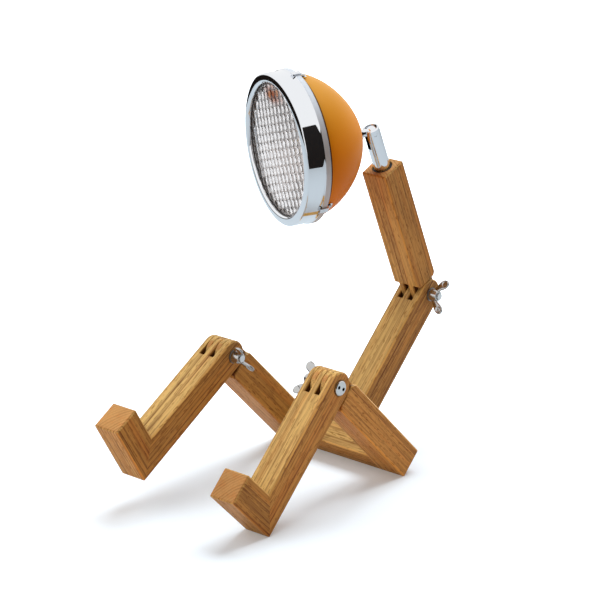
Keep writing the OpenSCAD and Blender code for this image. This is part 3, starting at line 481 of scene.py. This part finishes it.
def timber_group():
    """Oiled open-grained hardwood, in millimetres with the grain along Z and the bar's middle at the
    origin: growth lines, with streaks, fibres and pores as noises stretched along the grain. Cut ends
    drink the oil and go dark. The bevels are painted paler, a painted highlight, and the slots are
    painted dark inside, painted shade."""
    name = "Timber"
    if name in bpy.data.node_groups:
        return bpy.data.node_groups[name]
    tree, given, sink = new_group(
        name,
        {
            "Vector": ("Vector", "Heart"),
            "Color": ("Pale", "Dark"),
            "Float": ("Ring Width", "Ring Weight", "Half Length", "Half Width", "Seed"),
        },
        {"Color": ("Color",), "Float": ("Roughness", "Height")},
    )

    def result(operation, first, second):
        """The output of a Math node in this group."""
        return maths(tree, operation, first, second)

    end, edge, inside = bar_places(tree, given)
    ring, late = growth_lines(tree, given)
    sides = result("SUBTRACT", 1.0, result("MULTIPLY", end, 0.8))
    streak = ranged(tree, along_grain(tree, given, 0.50, 0.008, 1.0, 0.6), 0.34, 0.66, -0.10, 0.26)
    fibre = along_grain(tree, given, 1.0, 0.03, 2.0, 0.6)
    fleck = ranged(tree, fibre, 0.36, 0.64, -0.18, 0.26)
    cloud = ranged(tree, along_grain(tree, given, 0.06, 0.3, 2.0), 0.3, 0.7, -0.12, 0.16)
    pore = ranged(tree, along_grain(tree, given, 1.1, 0.16, 1.0), 0.58, 0.64, smooth=True)
    early = ranged(tree, ring, 0.0, 0.8, 1.0, 0.45)
    pore = result("MULTIPLY", result("MULTIPLY", pore, early), sides)
    tone = result("ADD", result("MULTIPLY", result("ADD", streak, fleck), sides), cloud)
    tone = result("ADD", tone, result("MULTIPLY", late, given["Ring Weight"]))
    tone = add_node(tree, "Clamp", {"Value": tone}).outputs[0]
    redness = ranged(tree, along_grain(tree, given, 0.22, 0.03, 2.0), 0.46, 0.70, 0.0, 0.5, smooth=True)
    body = blended(tree, tone, given["Pale"], given["Dark"])
    for amount, tint in (
        (redness, (1.06, 0.78, 0.62, 1)),
        (result("MULTIPLY", pore, 0.8), (0.42, 0.33, 0.26, 1)),
        (end, (0.82, 0.65, 0.62, 1)),
        # Painted highlight: the bevels are made paler.
        (edge, (1.25, 1.25, 1.25, 1)),
        # Painted shade: the insides of the slots are made dark.
        (inside, (0.26, 0.17, 0.13, 1)),
    ):
        body = blended(tree, amount, body, tint, "MULTIPLY")
    rough = ranged(tree, result("ADD", fibre, pore), 0.3, 1.6, 0.38, 0.62)
    height = result("SUBTRACT", result("MULTIPLY", fibre, 0.5), pore)
    height = result("SUBTRACT", height, result("MULTIPLY", late, 0.25))
    feed(tree, sink, {"Color": body, "Roughness": rough, "Height": height})
    return tree


def handling_group():
    """Faint handling marks on polished metal: two noises in millimetres, a broad one for smears and
    a fine one for dust, give a roughness and a height."""
    name = "Handling"
    if name in bpy.data.node_groups:
        return bpy.data.node_groups[name]
    inputs = {"Vector": ("Vector",), "Float": ("Clean", "Marked", "Grain")}
    tree, given, sink = new_group(name, inputs, {"Float": ("Roughness", "Height")})
    smear = ranged(tree, noise(tree, given["Vector"], 0.06, 3.0), 0.42, 0.70, smooth=True)
    fine = noise(tree, given["Vector"], given["Grain"], 3.0)
    mark = maths(tree, "MULTIPLY", smear, fine)
    rough = ranged(tree, mark, 0.0, 1.0, given["Clean"], given["Marked"])
    feed(tree, sink, {"Roughness": rough, "Height": fine})
    return tree


# -------- materials


def opaque(rgb):
    """A colour with alpha."""
    return (*rgb, 1.0)


def metal_material(name, rgb, clean, marked, grain=2.0, relief=0.0, metallic=1.0):
    """Metal with handling marks. Relief is the height of its fine grain in millimetres."""
    material, tree, shader = new_material(name)
    inputs = {"Vector": object_vector(tree), "Clean": clean, "Marked": marked, "Grain": grain}
    marks = add_node(tree, "Group", inputs, node_tree=handling_group()).outputs
    feed(tree, shader, {
        "Base Color": opaque(rgb), "Metallic": metallic, "Roughness": marks["Roughness"],
    })
    if relief:
        feed(tree, shader, {"Normal": bump(tree, marks["Height"], relief, 0.6)})
    return material


def plastic_material(name, rgb, roughness):
    """Moulded plastic, rubber or a board: its colour varies a little and its skin is finely pitted."""
    material, tree, shader = new_material(name)
    vector = object_vector(tree)
    cloud = noise(tree, vector, 0.15, 4.0)
    pit = noise(tree, vector, 1.2, 3.0)
    body = blended(tree, cloud, opaque([c * 0.88 for c in rgb]), opaque(rgb))
    rough = ranged(tree, pit, 0.3, 0.7, roughness - 0.05, roughness + 0.05)
    feed(tree, shader, {"Base Color": body, "Roughness": rough, "Normal": bump(tree, pit, 0.02, 0.5)})
    return material


def chrome_material():
    """Polished chrome, made once."""
    name = "Polished chrome"
    return bpy.data.materials.get(name) or metal_material(name, colours().chrome, 0.02, 0.07)


def nickel_material():
    """Bright tumbled metal, made once."""
    name = "Tumbled nickel"
    return bpy.data.materials.get(name) or metal_material(name, colours().nickel, 0.16, 0.34, 1.4, 0.03)


def paint(names, material):
    """Gives CAD nodes a material in each of their slots."""
    for name in names:
        for slot in NODES[name].material_slots:
            slot.material = material


# -------- operators


class RobotLampOperator(bpy.types.Operator):
    """Base of the operators that make a piece or a finish"""

    bl_options = {"REGISTER", "UNDO"}

    def execute(self, context):
        self.make(context)
        return {"FINISHED"}


class ROBOTLAMP_OT_studio(RobotLampOperator):
    """Pale floor, white surroundings, soft lamps and the camera"""

    bl_idname = "robot_lamp.studio"
    bl_label = "Studio"

    def make(self, context):
        studio = context.scene.robot_lamp_studio
        self.camera(context, studio)
        self.surroundings(context, studio)
        self.floor()
        self.lamp("Key", (-0.9, -1.5, 1.1), 3.2, studio.key)
        self.lamp("Top", (-0.2, 0.75, 1.6), 1.4, studio.top)
        for name, (x, corners) in CARDS.items():
            self.card(name, x, corners)
        context.scene.view_settings.view_transform = "Standard"

    def camera(self, context, studio):
        """Camera at an azimuth, an elevation and a distance from the middle of the view."""
        a, e = studio.azimuth, studio.elevation
        back = Vector((math.sin(a) * math.cos(e), -math.cos(a) * math.cos(e), math.sin(e)))
        data = bpy.data.cameras.new("Camera")
        data.sensor_fit = "HORIZONTAL"
        data.sensor_width = 36.0
        data.lens = studio.focal
        camera = placed("Camera", data)
        camera.location = VIEW_MIDDLE + back * studio.distance
        camera.rotation_euler = back.to_track_quat("Z", "Y").to_euler()
        context.scene.camera = camera

    def surroundings(self, context, studio):
        """White to the camera, to mirrors and to glass, and softer as light."""
        world = bpy.data.worlds.new("Surroundings")
        world.use_nodes = True
        tree = world.node_tree
        path = tree.nodes.new("ShaderNodeLightPath").outputs
        seen = maths(tree, "MAXIMUM", path["Is Camera Ray"], path["Is Glossy Ray"])
        seen = maths(tree, "MAXIMUM", seen, path["Is Transmission Ray"])
        feed(tree, tree.nodes["Background"], {
            "Strength": ranged(tree, seen, 0, 1, studio.ambient, 1.0),
            "Color": blended(tree, seen, opaque(studio.warmth), (1, 1, 1, 1)),
        })
        context.scene.world = world

    def floor(self):
        """Pale floor that keeps the shadows: a diffuse surface, with a glow that only eyes and glass see,
        growing with the root of the distance from a point beside the object, so that it is white where
        nothing shades it; the glow also paints the shadows lighter farther from that point. Mirrors see
        it darker, and the light that it throws back is warm."""
        mesh = bpy.data.meshes.new("Floor")
        half = 3.0
        corners = [(-half, -half, 0), (half, -half, 0), (half, half, 0), (-half, half, 0)]
        mesh.from_pydata(corners, [], [(0, 1, 2, 3)])
        floor = placed("Floor", mesh)
        material, tree, shader = new_material("Pale floor")
        path = tree.nodes.new("ShaderNodeLightPath").outputs
        base = blended(tree, path["Is Glossy Ray"], (0.74, 0.86, 0.96, 1), (0.44, 0.52, 0.58, 1))
        base = blended(tree, path["Is Diffuse Ray"], base, (0.62, 0.36, 0.20, 1))
        place = tree.nodes.new("ShaderNodeTexCoord").outputs["Object"]
        away = magnitude(tree, vector_maths(tree, "SUBTRACT", place, (0.08, -0.08, 0)))
        # The glow, lowest near the object, also paints the farther shadows lighter.
        glow = ranged(tree, maths(tree, "SQRT", away), 0.36, 0.68, 0.12, 0.85)
        seen = maths(tree, "MAXIMUM", path["Is Camera Ray"], path["Is Transmission Ray"])
        feed(tree, shader, {
            "Base Color": base, "Roughness": 0.9, "Specular IOR Level": 0.1,
            "Emission Color": (1, 1, 1, 1), "Emission Strength": maths(tree, "MULTIPLY", seen, glow),
        })
        mesh.materials.append(material)

    def card(self, name, x, corners):
        """A dark card beside the object, upright and facing it, with its corners rounded. Only mirrors
        see it: it gives the chrome its dark lines."""
        outline = rounded([(x, y, z) for y, z in corners], CARD_ROUNDING, 9)
        mesh = bpy.data.meshes.new(name)
        mesh.from_pydata(outline.tolist(), [], [list(range(len(outline)))])
        card = placed(name, mesh)
        for kind in ("camera", "diffuse", "transmission", "volume_scatter", "shadow"):
            setattr(card, "visible_" + kind, False)
        material, tree, shader = new_material(name)
        dark = (0.012, 0.012, 0.013, 1)
        feed(tree, shader, {"Base Color": dark, "Roughness": 1.0, "Specular IOR Level": 0.0})
        mesh.materials.append(material)

    def lamp(self, name, place, side, power):
        """A square soft lamp that faces the middle of the view, with its place and side in metres."""
        data = bpy.data.lights.new(name, "AREA")
        data.shape = "SQUARE"
        data.size = side
        data.energy = power
        lamp = placed(name, data)
        lamp.location = place
        lamp.rotation_euler = (Vector(place) - VIEW_MIDDLE).to_track_quat("Z", "Y").to_euler()
        lamp.visible_glossy = False


class ROBOTLAMP_OT_timber(RobotLampOperator):
    """Oiled hardwood on the bars and dowels, with the grain along each bar"""

    bl_idname = "robot_lamp.timber"
    bl_label = "Timber"

    def make(self, context):
        for seed, (name, grain) in enumerate(BARS.items()):
            self.bar(name, Matrix.Rotation(math.radians(grain.lean), 3, "X"), grain, seed)
        across = Matrix.Rotation(math.radians(-SEAT_LEAN), 3, "X") @ Matrix.Rotation(math.radians(90), 3, "Y")
        self.bar("hip_crossbar", across, Bar(-SEAT_LEAN, (24.0, 40.0), 1.0, 0.9), len(BARS))
        dowel = Bar(-SEAT_LEAN, (30.0, 0.0), 1.0, 0.8)
        paint(DOWELS, self.timber("Dowel wood", Vector(), across, (1.0, 1.0), dowel, 20))

    def bar(self, name, turn, grain, seed):
        """Oiled wood on one bar. The bar's frame starts at the middle of its extent across and along
        the grain."""
        mesh = NODES[name].data
        corners = np.empty(len(mesh.vertices) * 3, np.float32)
        mesh.vertices.foreach_get("co", corners)
        corners = corners.reshape(-1, 3) @ np.array(NODES[name].matrix_world)[:3, :3].T
        corners = (corners + np.array(NODES[name].matrix_world.translation)) @ np.array(turn)
        low, high = corners.min(0), corners.max(0)
        half = (high - low) / 2 / MM
        place = turn @ Vector((low + high) / 2)
        label = "Oiled " + name.replace("_", " ")
        paint([name], self.timber(label, place, turn, (half[2], half[0]), grain, seed))

    def timber(self, name, place, turn, half, grain, seed):
        """The timber group in its own material, in the frame of a bar of the given half length and
        half width. The ring width goes from 1.9 to 2.9 mm with the seed."""
        c = colours()
        material, tree, shader = new_material(name)
        inputs = {
            "Vector": object_vector(tree, place, turn.to_euler("XYZ")), "Heart": (*grain.heart, 0.0),
            "Pale": opaque(Vector(c.timber_pale) * grain.pale),
            "Dark": opaque(Vector(c.timber_dark) * grain.pale),
            "Half Length": half[0], "Half Width": half[1], "Seed": seed * 7.3,
            "Ring Width": 1.9 + (seed * 0.37) % 1, "Ring Weight": grain.lines,
        }
        wood = add_node(tree, "Group", inputs, node_tree=timber_group()).outputs
        feed(tree, shader, {
            "Base Color": wood["Color"], "Roughness": wood["Roughness"], "Specular IOR Level": 0.2,
            "Normal": bump(tree, wood["Height"], 0.12, 0.6),
        })
        return material


class ROBOTLAMP_OT_shell(RobotLampOperator):
    """Domed shell of the headlamp in amber enamel"""

    bl_idname = "robot_lamp.shell"
    bl_label = "Shell"

    def make(self, context):
        s = sizes()
        rows, steps = 90, 224
        start = math.asin((s.seat_radius / s.shell_radius) ** (s.dome_power / 2))
        t = np.linspace(start, np.pi / 2, rows)
        radius = s.shell_radius * np.sin(t) ** (2 / s.dome_power)
        dome = np.stack([radius, -s.shell_depth * np.cos(t) ** (2 / s.dome_power)], 1)
        stem_hole, seat_edge = 3.25 * MM, s.seat_radius * 0.8
        seat = np.array([[stem_hole, dome[0, 1]], [seat_edge, dome[0, 1]]])
        sleeve = np.array([[s.shell_radius, z] for z in np.linspace(0.25, 1, 4) * s.shell_front])
        profile = np.concatenate([seat, dome, sleeve])
        points = revolve(profile, steps)
        faces = grid_faces(len(profile), steps)
        middles = points[faces].mean(1)
        for turn, hole in SHELL_HOLES:
            away = np.linalg.norm(middles - np.array(dome_place(math.radians(turn))), axis=1)
            faces, middles = faces[away > hole * MM], middles[away > hole * MM]
        faces = faces[:, ::-1]
        piece = make_piece("shell_skin", points, faces, "head", head_frame(), sharp=50)
        wall = piece.modifiers.new("Wall", "SOLIDIFY")
        wall.thickness = s.shell_wall
        wall.offset = -1.0
        piece.data.materials.append(self.enamel())
        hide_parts("lamp_shell")

    def enamel(self):
        """Satin enamel with a faint orange peel under a clear coat. It is painted paler toward its top, a
        painted highlight, and painted dark in a band behind the rim, painted shade."""
        c = colours()
        material, tree, shader = new_material("Amber enamel")
        vector = object_vector(tree)
        peel = noise(tree, vector, 1.1, 2.0)
        darker = opaque([level * 0.93 for level in c.enamel])
        body = blended(tree, noise(tree, vector, 0.05, 2.0), darker, opaque(c.enamel))
        # Painted highlight: the enamel turns paler and yellower toward the top of the shell.
        up = ranged(tree, parted(tree, vector)[2], 235.0, 290.0, smooth=True)
        body = blended(tree, up, body, opaque(c.painted_top_sheen))
        # Painted shade: a dark band on the enamel just behind the rim's flange.
        painted_crease_shade = ranged(tree, parted(tree, lamp_vector(tree))[2], -2.6, -1.8, smooth=True)
        body = blended(tree, painted_crease_shade, body, (0.05, 0.018, 0.006, 1))
        feed(tree, shader, {
            "Base Color": body, "Roughness": ranged(tree, peel, 0.3, 0.7, 0.42, 0.50),
            "Specular IOR Level": 0.15, "Coat Weight": 0.05, "Coat Roughness": 0.2,
            "Normal": bump(tree, peel, 0.01, 0.3),
        })
        return material


class ROBOTLAMP_OT_rim(RobotLampOperator):
    """Chrome rim of the headlamp"""

    bl_idname = "robot_lamp.rim"
    bl_label = "Rim"

    def make(self, context):
        s = sizes()
        points, faces = turned(self.profile(s), 256)
        piece = make_piece("rim_chrome", points, faces, "head", head_frame(), sharp=40)
        rolled = metal_material("Rolled plate", colours().rolled, 0.50, 0.60, metallic=0.5)
        # Painted shade: a darker metal on the flange's rear edge stands for the dark seam against the shell.
        seam_shade = metal_material("Painted seam shade", (0.40, 0.42, 0.45), 0.40, 0.50)
        for material in (chrome_material(), rolled, seam_shade):
            piece.data.materials.append(material)
        self.paint_flange(piece, s)
        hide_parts("lamp_rim")

    def profile(self, s):
        """Outline of the rim's metal: the flange and the band, the rolled front as a quarter of an
        ellipse, the edge of the opening, and the inner face behind them all."""
        seat, wall, front = s.shell_radius + 0.5 * MM, s.rim_wall, s.rim_length
        roll, lip = front - s.roll_depth, front - s.lip_setback
        rear = rounded([
            (seat, 0.0), (s.flange_radius, 0.0), (s.flange_radius, s.flange_length),
            (s.band_radius, s.flange_length + 1.6 * MM), (s.band_radius, roll),
        ], np.array([0.0, 0.7, 0.7, 1.8, 0.0]) * MM, 8)[8:-8]
        t = np.linspace(0, np.pi / 2, 28)[:, None]
        corner = np.concatenate([
            s.band_radius - s.roll_width * (1 - np.cos(t)), roll + s.roll_depth * np.sin(t)
        ], 1)
        edge = rounded([
            corner[-1], (s.opening_radius + 1.0 * MM, front - 0.2 * MM),
            (s.opening_radius, lip), (s.opening_radius, lip - wall),
        ], np.array([0.0, 1.2, 0.5, 0.0]) * MM, 8)[8:-8]
        inner = rounded([
            (s.opening_radius, lip - wall), (s.band_radius - 3.6 * MM, front - 1.6 * MM),
            (s.band_radius - wall, front - 3.6 * MM), (s.band_radius - wall, s.flange_length + 1.2 * MM),
            (s.flange_radius - wall, s.flange_length - 0.4 * MM), (s.flange_radius - wall, wall),
            (seat, wall),
        ], np.array([0.0, 1.0, 1.5, 0.4, 0.4, 0.5, 0.0]) * MM, 6)
        return np.concatenate([[(seat, 0.0)], rear, corner, edge, inner])

    def paint_flange(self, piece, s):
        """The flange's faces take the duller plate, those whose middle lies behind the flange's end. The
        faces within half a millimetre of its rear take a darker metal, painted shade for the seam against
        the shell."""
        mesh = piece.data
        middles = np.empty(len(mesh.polygons) * 3)
        mesh.polygons.foreach_get("center", middles)
        back = np.array(head_frame().inverted())
        depth = middles.reshape(-1, 3) @ back[2, :3] + back[2, 3]
        # Index 2, the darker metal of the rear edge, is painted shade.
        index = (depth < s.flange_length).astype(np.int32) + (depth < 0.5 * MM)
        mesh.polygons.foreach_set("material_index", index)
        mesh.update()


class ROBOTLAMP_OT_lens(RobotLampOperator):
    """Pressed glass lens with rows of rounded flutes, and the reflector behind it"""

    bl_idname = "robot_lamp.lens"
    bl_label = "Lens and reflector"

    def make(self, context):
        s = sizes()
        self.lens(s)
        self.reflector(s)

    def crown(self, s, r):
        """Height of the lens at a distance from its axis, without the flutes: a sphere inside the
        opening, and level outside it."""
        edge, bulge = s.opening_radius, s.lens_bulge
        sphere = (edge**2 + bulge**2) / (2 * bulge)
        return np.sqrt(sphere**2 - np.minimum(r, edge) ** 2) - (sphere - bulge)

    def front(self, s, x, y):
        """Height of the lens's front: the crown, plus kernels in rows inside the opening, each the
        product of an arc across it, 1 - u^2, and a flatter arc along it, 1 - v^4."""
        margin, fade = 1.5 * MM, 1.0 * MM
        across = x * math.cos(s.lens_turn) + y * math.sin(s.lens_turn)
        along = y * math.cos(s.lens_turn) - x * math.sin(s.lens_turn)
        u = (across / s.flute_width) % 1 * 2 - 1
        v = (along / s.flute_height) % 1 * 2 - 1
        flute = s.flute_relief * (1 - u**2) * (1 - v**4)
        r = np.hypot(x, y)
        return self.crown(s, r) + flute * np.clip((s.opening_radius - margin - r) / fade, 0, 1)

    def lens(self, s):
        """Fluted front on a square grid (u, v) that is bent to a disc, x = u sqrt(1 - v^2/2) and
        y = v sqrt(1 - u^2/2), closed by rings from its border to the middle of the plain rear."""
        n = 236
        a = np.linspace(-1, 1, n)
        u, v = np.meshgrid(a, a)
        x = s.lens_radius * u * np.sqrt(1 - v**2 / 2)
        y = s.lens_radius * v * np.sqrt(1 - u**2 / 2)
        z = s.lens_back + s.lens_wall + self.front(s, x, y)
        front = np.stack([x, y, z], 2).reshape(-1, 3)
        index = np.arange(n * n).reshape(n, n)
        border = np.concatenate([index[0, :-1], index[:-1, -1], index[-1, :0:-1], index[:0:-1, 0]])
        share = np.array([1.0, 1.0, 0.97, 0.9, 0.75, 0.55, 0.3, 0.12, 0.0])[:, None, None]
        rear = front[border][None, :, :] * share
        rear[..., 2] = s.lens_back + self.crown(s, np.hypot(rear[..., 0], rear[..., 1]))
        rear[0, :, 2] = front[border][:, 2]
        rings = grid_faces(len(share), len(border))
        points, faces = joined([
            (front, grid_faces(n, n, wrap_columns=False)), (rear.reshape(-1, 3), rings),
        ])
        piece = make_piece("fluted_lens", points, faces, "head", head_frame(), sharp=35)
        piece.data.materials.append(self.glass())
        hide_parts("lens")

    def glass(self):
        """Pressed glass with a film of dust. A brown painted reflection fades out over an ellipse near its
        top, with its middle at (-10.95, 37.05) mm in the lamp's frame and half widths of 15 and 6.5 mm."""
        c = colours()
        material, tree, shader = new_material("Pressed glass")
        scale, shift = (1 / 15, 1 / 6.5, 0), (0.73, -5.7, 0)
        away = magnitude(tree, vector_maths(tree, "MULTIPLY_ADD", lamp_vector(tree), scale, shift))
        # Painted reflection: the brown tint fades out over an ellipse near the lens's top.
        painted_reflection = ranged(tree, away, 0.3, 1.2, 1.0, 0.0, smooth=True)
        dust = noise(tree, object_vector(tree), 0.4, 3.0)
        feed(tree, shader, {
            "Base Color": blended(tree, painted_reflection, opaque(c.glass), opaque(c.painted_reflection)),
            "Roughness": ranged(tree, dust, 0.35, 0.7, 0.0, 0.04),
            "Transmission Weight": 0.94, "IOR": 1.33,
        })
        return material

    def reflector(self, s):
        """A bowl round a flat floor, with a hole in the floor for the light and a flange under the
        lens. Its height over the floor is (r^2 - r0^2) / slope, with r0 the radius of the floor."""
        hole, floor_radius, bowl_radius = 8.0 * MM, 13.0 * MM, s.opening_radius - 1.2 * MM
        wall, depth = 0.8 * MM, 25.0 * MM
        flange = s.lens_back - wall
        floor = flange - depth
        slope = (bowl_radius**2 - floor_radius**2) / (flange - floor)
        r = np.linspace(floor_radius, bowl_radius, 60)
        bowl = np.stack([r, floor + (r**2 - floor_radius**2) / slope], 1)
        back = bowl[::-1] + wall * np.array([0.6, -0.8])
        profile = np.concatenate([
            [(hole, floor)], bowl,
            [(bowl_radius + 0.3 * MM, s.lens_back), (s.lens_radius, s.lens_back)],
            [(s.lens_radius, flange), (bowl_radius + 1.2 * MM, flange)],
            back[back[:, 1] < flange],
            [(floor_radius, floor - wall), (hole, floor - wall)],
        ])
        points, faces = turned(profile, 160)
        lamp = head_frame()
        piece = make_piece("bright_reflector", points, faces, "head", lamp, sharp=40)
        piece.data.materials.append(metal_material("Bright reflector", colours().mirror, 0.03, 0.06))
        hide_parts("reflector")


class ROBOTLAMP_OT_wing_nuts(RobotLampOperator):
    """Tumbled wing nuts with rounded, dished wings"""

    bl_idname = "robot_lamp.wing_nuts"
    bl_label = "Wing nuts"

    def make(self, context):
        for joint, (side, turn, _) in PIVOTS.items():
            self.nut(joint + "_wing_nut", side, math.radians(turn))

    def nut(self, name, side, turn):
        """A turned hub with two wings. Its axis points along X to the given side, and its wings lie
        along a direction at an angle from +Y toward +Z."""
        low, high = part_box(name)
        inner = low.x if side > 0 else high.x
        radial = Vector((0, math.cos(turn), math.sin(turn)))
        outward = Vector((side, 0, 0))
        frame = Matrix((radial, outward.cross(radial), outward)).transposed().to_4x4()
        place = Matrix.Translation(Vector((inner, (low.y + high.y) / 2, (low.z + high.z) / 2))) @ frame
        points, faces = joined([self.hub(), self.wing(1), self.wing(-1)])
        body = body_of(NODES[name])[0]
        piece = make_piece(name + "_form", points, faces, body, place, sharp=45)
        piece.data.materials.append(nickel_material())
        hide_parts(name)

    def hub(self):
        """Turned hub with a threaded bore: rounded shoulders over a small foot."""
        corners = np.array([(2.6, 0.0), (4.5, 0.0), (4.5, 1.2), (4.2, 4.2), (3.7, 6.5), (2.6, 6.5)]) * MM
        radii = np.array([0.2, 0.5, 0.6, 1.5, 0.9, 0.4]) * MM
        return turned(rounded(corners, radii, 7), 72)

    def wing(self, side):
        """A wing in millimetres, as rings of a superellipse along a bent middle line in the plane of
        the axis: the line is (1-s)^2 a + 2s(1-s) b + s^2 c, and the half width grows by a smooth step
        and closes as a half circle. The middle of the tip is dished on both faces."""
        s = 1 - np.linspace(1, 0, 44) ** 1.6
        a, b, c = np.array([(2.6, 3.1), (6.6, 5.0), (11.6, 12.3)])
        line = np.outer((1 - s) ** 2, a) + np.outer(2 * s * (1 - s), b) + np.outer(s**2, c)
        run = np.outer(1 - s, b - a) + np.outer(s, c - b)
        run /= np.linalg.norm(run, axis=1)[:, None]
        grow = np.clip((s - 0.25) / 0.5, 0, 1)
        half = 2.1 + 1.2 * grow**2 * (3 - 2 * grow)
        half *= np.sqrt(1 - np.clip((s - 0.75) / 0.25, 0, 1) ** 2) * (s > 0)
        thick = 1.0 + 0.5 * np.clip(1 - s / 0.35, 0, 1) ** 2
        t = np.linspace(0, 2 * np.pi, 48, endpoint=False)
        across = np.sign(np.cos(t)) * np.abs(np.cos(t)) ** 0.8
        through = np.sign(np.sin(t)) * np.abs(np.sin(t)) ** 0.55
        wide = half[:, None] * across
        flat = line[:, None] + wide[..., None] * np.stack([-run[:, 1], run[:, 0]], 1)[:, None]
        dish_middle, dish_radius, dish_slope, dish_depth = np.array([9.6, 9.6]), 2.5, 0.7, 0.42
        away = np.linalg.norm(flat - dish_middle, axis=2)
        dish = dish_depth * np.clip((dish_radius - away) / dish_slope, 0, 1)
        round_end = np.sqrt(np.clip((1 - s) / 0.06, 0, 1)) * (s > 0)
        deep = through * np.maximum(thick[:, None] - dish, 0.3) * round_end[:, None]
        points = np.stack([side * flat[..., 0], deep, flat[..., 1]], 2) * MM
        return points.reshape(-1, 3), grid_faces(len(s), len(t))


class ROBOTLAMP_OT_fittings(RobotLampOperator):
    """Finishes of the bolts, the swivel post, the switch, the inlet and the light unit"""

    bl_idname = "robot_lamp.fittings"
    bl_label = "Fittings"

    def make(self, context):
        c = colours()
        for joint in PIVOTS:
            paint([joint + "_bolt"], self.bolt_metal(joint))
        # The washers take a darker, duller steel than the nuts: partly their own finish, partly painted shade
        # round each hub.
        dull_steel_and_shade = metal_material("Dull steel with painted shade", (0.34, 0.33, 0.32), 0.35, 0.5, 1.4, 0.03)
        paint([joint + "_washer" for joint in PIVOTS], dull_steel_and_shade)
        bright = ["swivel_post", "tilt_pin", "ball_stud", "rim_clips", "switch_nut", "switch_button"]
        paint(bright, chrome_material())
        paint(["stem_nut", "clip_screws", "led_screws", "driver_screws"], nickel_material())
        paint(["pan_insert", "driver_standoffs"], metal_material("Turned brass", c.brass, 0.18, 0.32))
        paint(["heat_sink"], metal_material("Milled aluminium", (0.6, 0.61, 0.63), 0.28, 0.45, 3.0, 0.02))
        black = ["pan_washer", "stem_washer", "lens_gasket", "cord_grommet", "switch_leads", "switch_body"]
        paint(black, plastic_material("Black rubber", c.rubber, 0.6))
        for node, name, rgb, roughness in (
            ("led_board", "White board", (0.82, 0.82, 0.79), 0.35),
            ("led_emitter", "Phosphor", (0.85, 0.62, 0.12), 0.5),
            ("driver_board", "Green board", (0.03, 0.16, 0.06), 0.35),
            ("terminal_block", "Nylon", (0.75, 0.75, 0.70), 0.5),
            ("led_leads", "Red insulation", (0.45, 0.02, 0.015), 0.45),
        ):
            paint([node], plastic_material(name, rgb, roughness))

    def bolt_metal(self, joint):
        """Bright metal with black painted inside the head's two driving holes, painted shade. The holes lie
        on a line through the bolt's axis, at an offset from it: the black is where the distance from a
        hole's axis is under the hole's radius, on the head's half of the bolt."""
        offset, hole = 2.6, 1.3
        nut_side, _, lean = PIVOTS[joint]
        rgb = (0.72, 0.71, 0.70)
        material = metal_material("Bolt of " + joint, rgb, 0.16, 0.34, 1.4, 0.03)
        tree = material.node_tree
        pivot = Vector(JOINTS[joint]["pos_m"])
        pivot.x = 0
        x, y, z = parted(tree, object_vector(tree, pivot, (math.radians(lean), 0, 0)))
        away = hypotenuse(tree, maths(tree, "SUBTRACT", maths(tree, "ABSOLUTE", y), offset), z)
        outside = ranged(tree, away, hole - 0.1, hole + 0.05, smooth=True)
        low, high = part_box(joint + "_bolt")
        middle = (low.x + high.x) / 2 / MM
        nut_half = ranged(tree, x, middle + nut_side, middle - nut_side, 1.0, 0.0)
        plain = maths(tree, "MAXIMUM", outside, nut_half)
        # Painted shade: black inside the driving holes.
        body = blended(tree, plain, (0.004, 0.004, 0.004, 1), opaque(rgb))
        feed(tree, tree.nodes["Principled BSDF"], {"Base Color": body})
        return material


class ROBOTLAMP_PT_panel(bpy.types.Panel):
    """Lists the sizes, the colours and the operators"""

    bl_idname = "ROBOTLAMP_PT_panel"
    bl_label = "Seated robot lamp"
    bl_space_type = "VIEW_3D"
    bl_region_type = "UI"
    bl_category = "Robot Lamp"

    def draw(self, context):
        layout = self.layout
        scene = context.scene
        for group in (scene.robot_lamp_sizes, scene.robot_lamp_colours, scene.robot_lamp_studio):
            box = layout.box()
            for name in group.__annotations__:
                box.prop(group, name)
        for operator in OPERATORS:
            layout.operator(operator.bl_idname)


GROUPS = {
    "robot_lamp_sizes": RobotLampSizes,
    "robot_lamp_colours": RobotLampColours,
    "robot_lamp_studio": RobotLampStudio,
}
OPERATORS = (
    ROBOTLAMP_OT_studio, ROBOTLAMP_OT_timber, ROBOTLAMP_OT_shell, ROBOTLAMP_OT_rim, ROBOTLAMP_OT_lens,
    ROBOTLAMP_OT_wing_nuts, ROBOTLAMP_OT_fittings,
)


def register():
    for name, group in GROUPS.items():
        bpy.utils.register_class(group)
        setattr(bpy.types.Scene, name, bpy.props.PointerProperty(type=group))
    for operator in OPERATORS:
        bpy.utils.register_class(operator)
    bpy.utils.register_class(ROBOTLAMP_PT_panel)


def unregister():
    bpy.utils.unregister_class(ROBOTLAMP_PT_panel)
    for operator in reversed(OPERATORS):
        bpy.utils.unregister_class(operator)
    for name, group in GROUPS.items():
        delattr(bpy.types.Scene, name)
        bpy.utils.unregister_class(group)


def main():
    register()
    bpy.ops.robot_lamp.studio()
    bpy.ops.robot_lamp.timber()
    bpy.ops.robot_lamp.shell()
    bpy.ops.robot_lamp.rim()
    bpy.ops.robot_lamp.lens()
    bpy.ops.robot_lamp.wing_nuts()
    bpy.ops.robot_lamp.fittings()


if __name__ == "__main__":
    main()
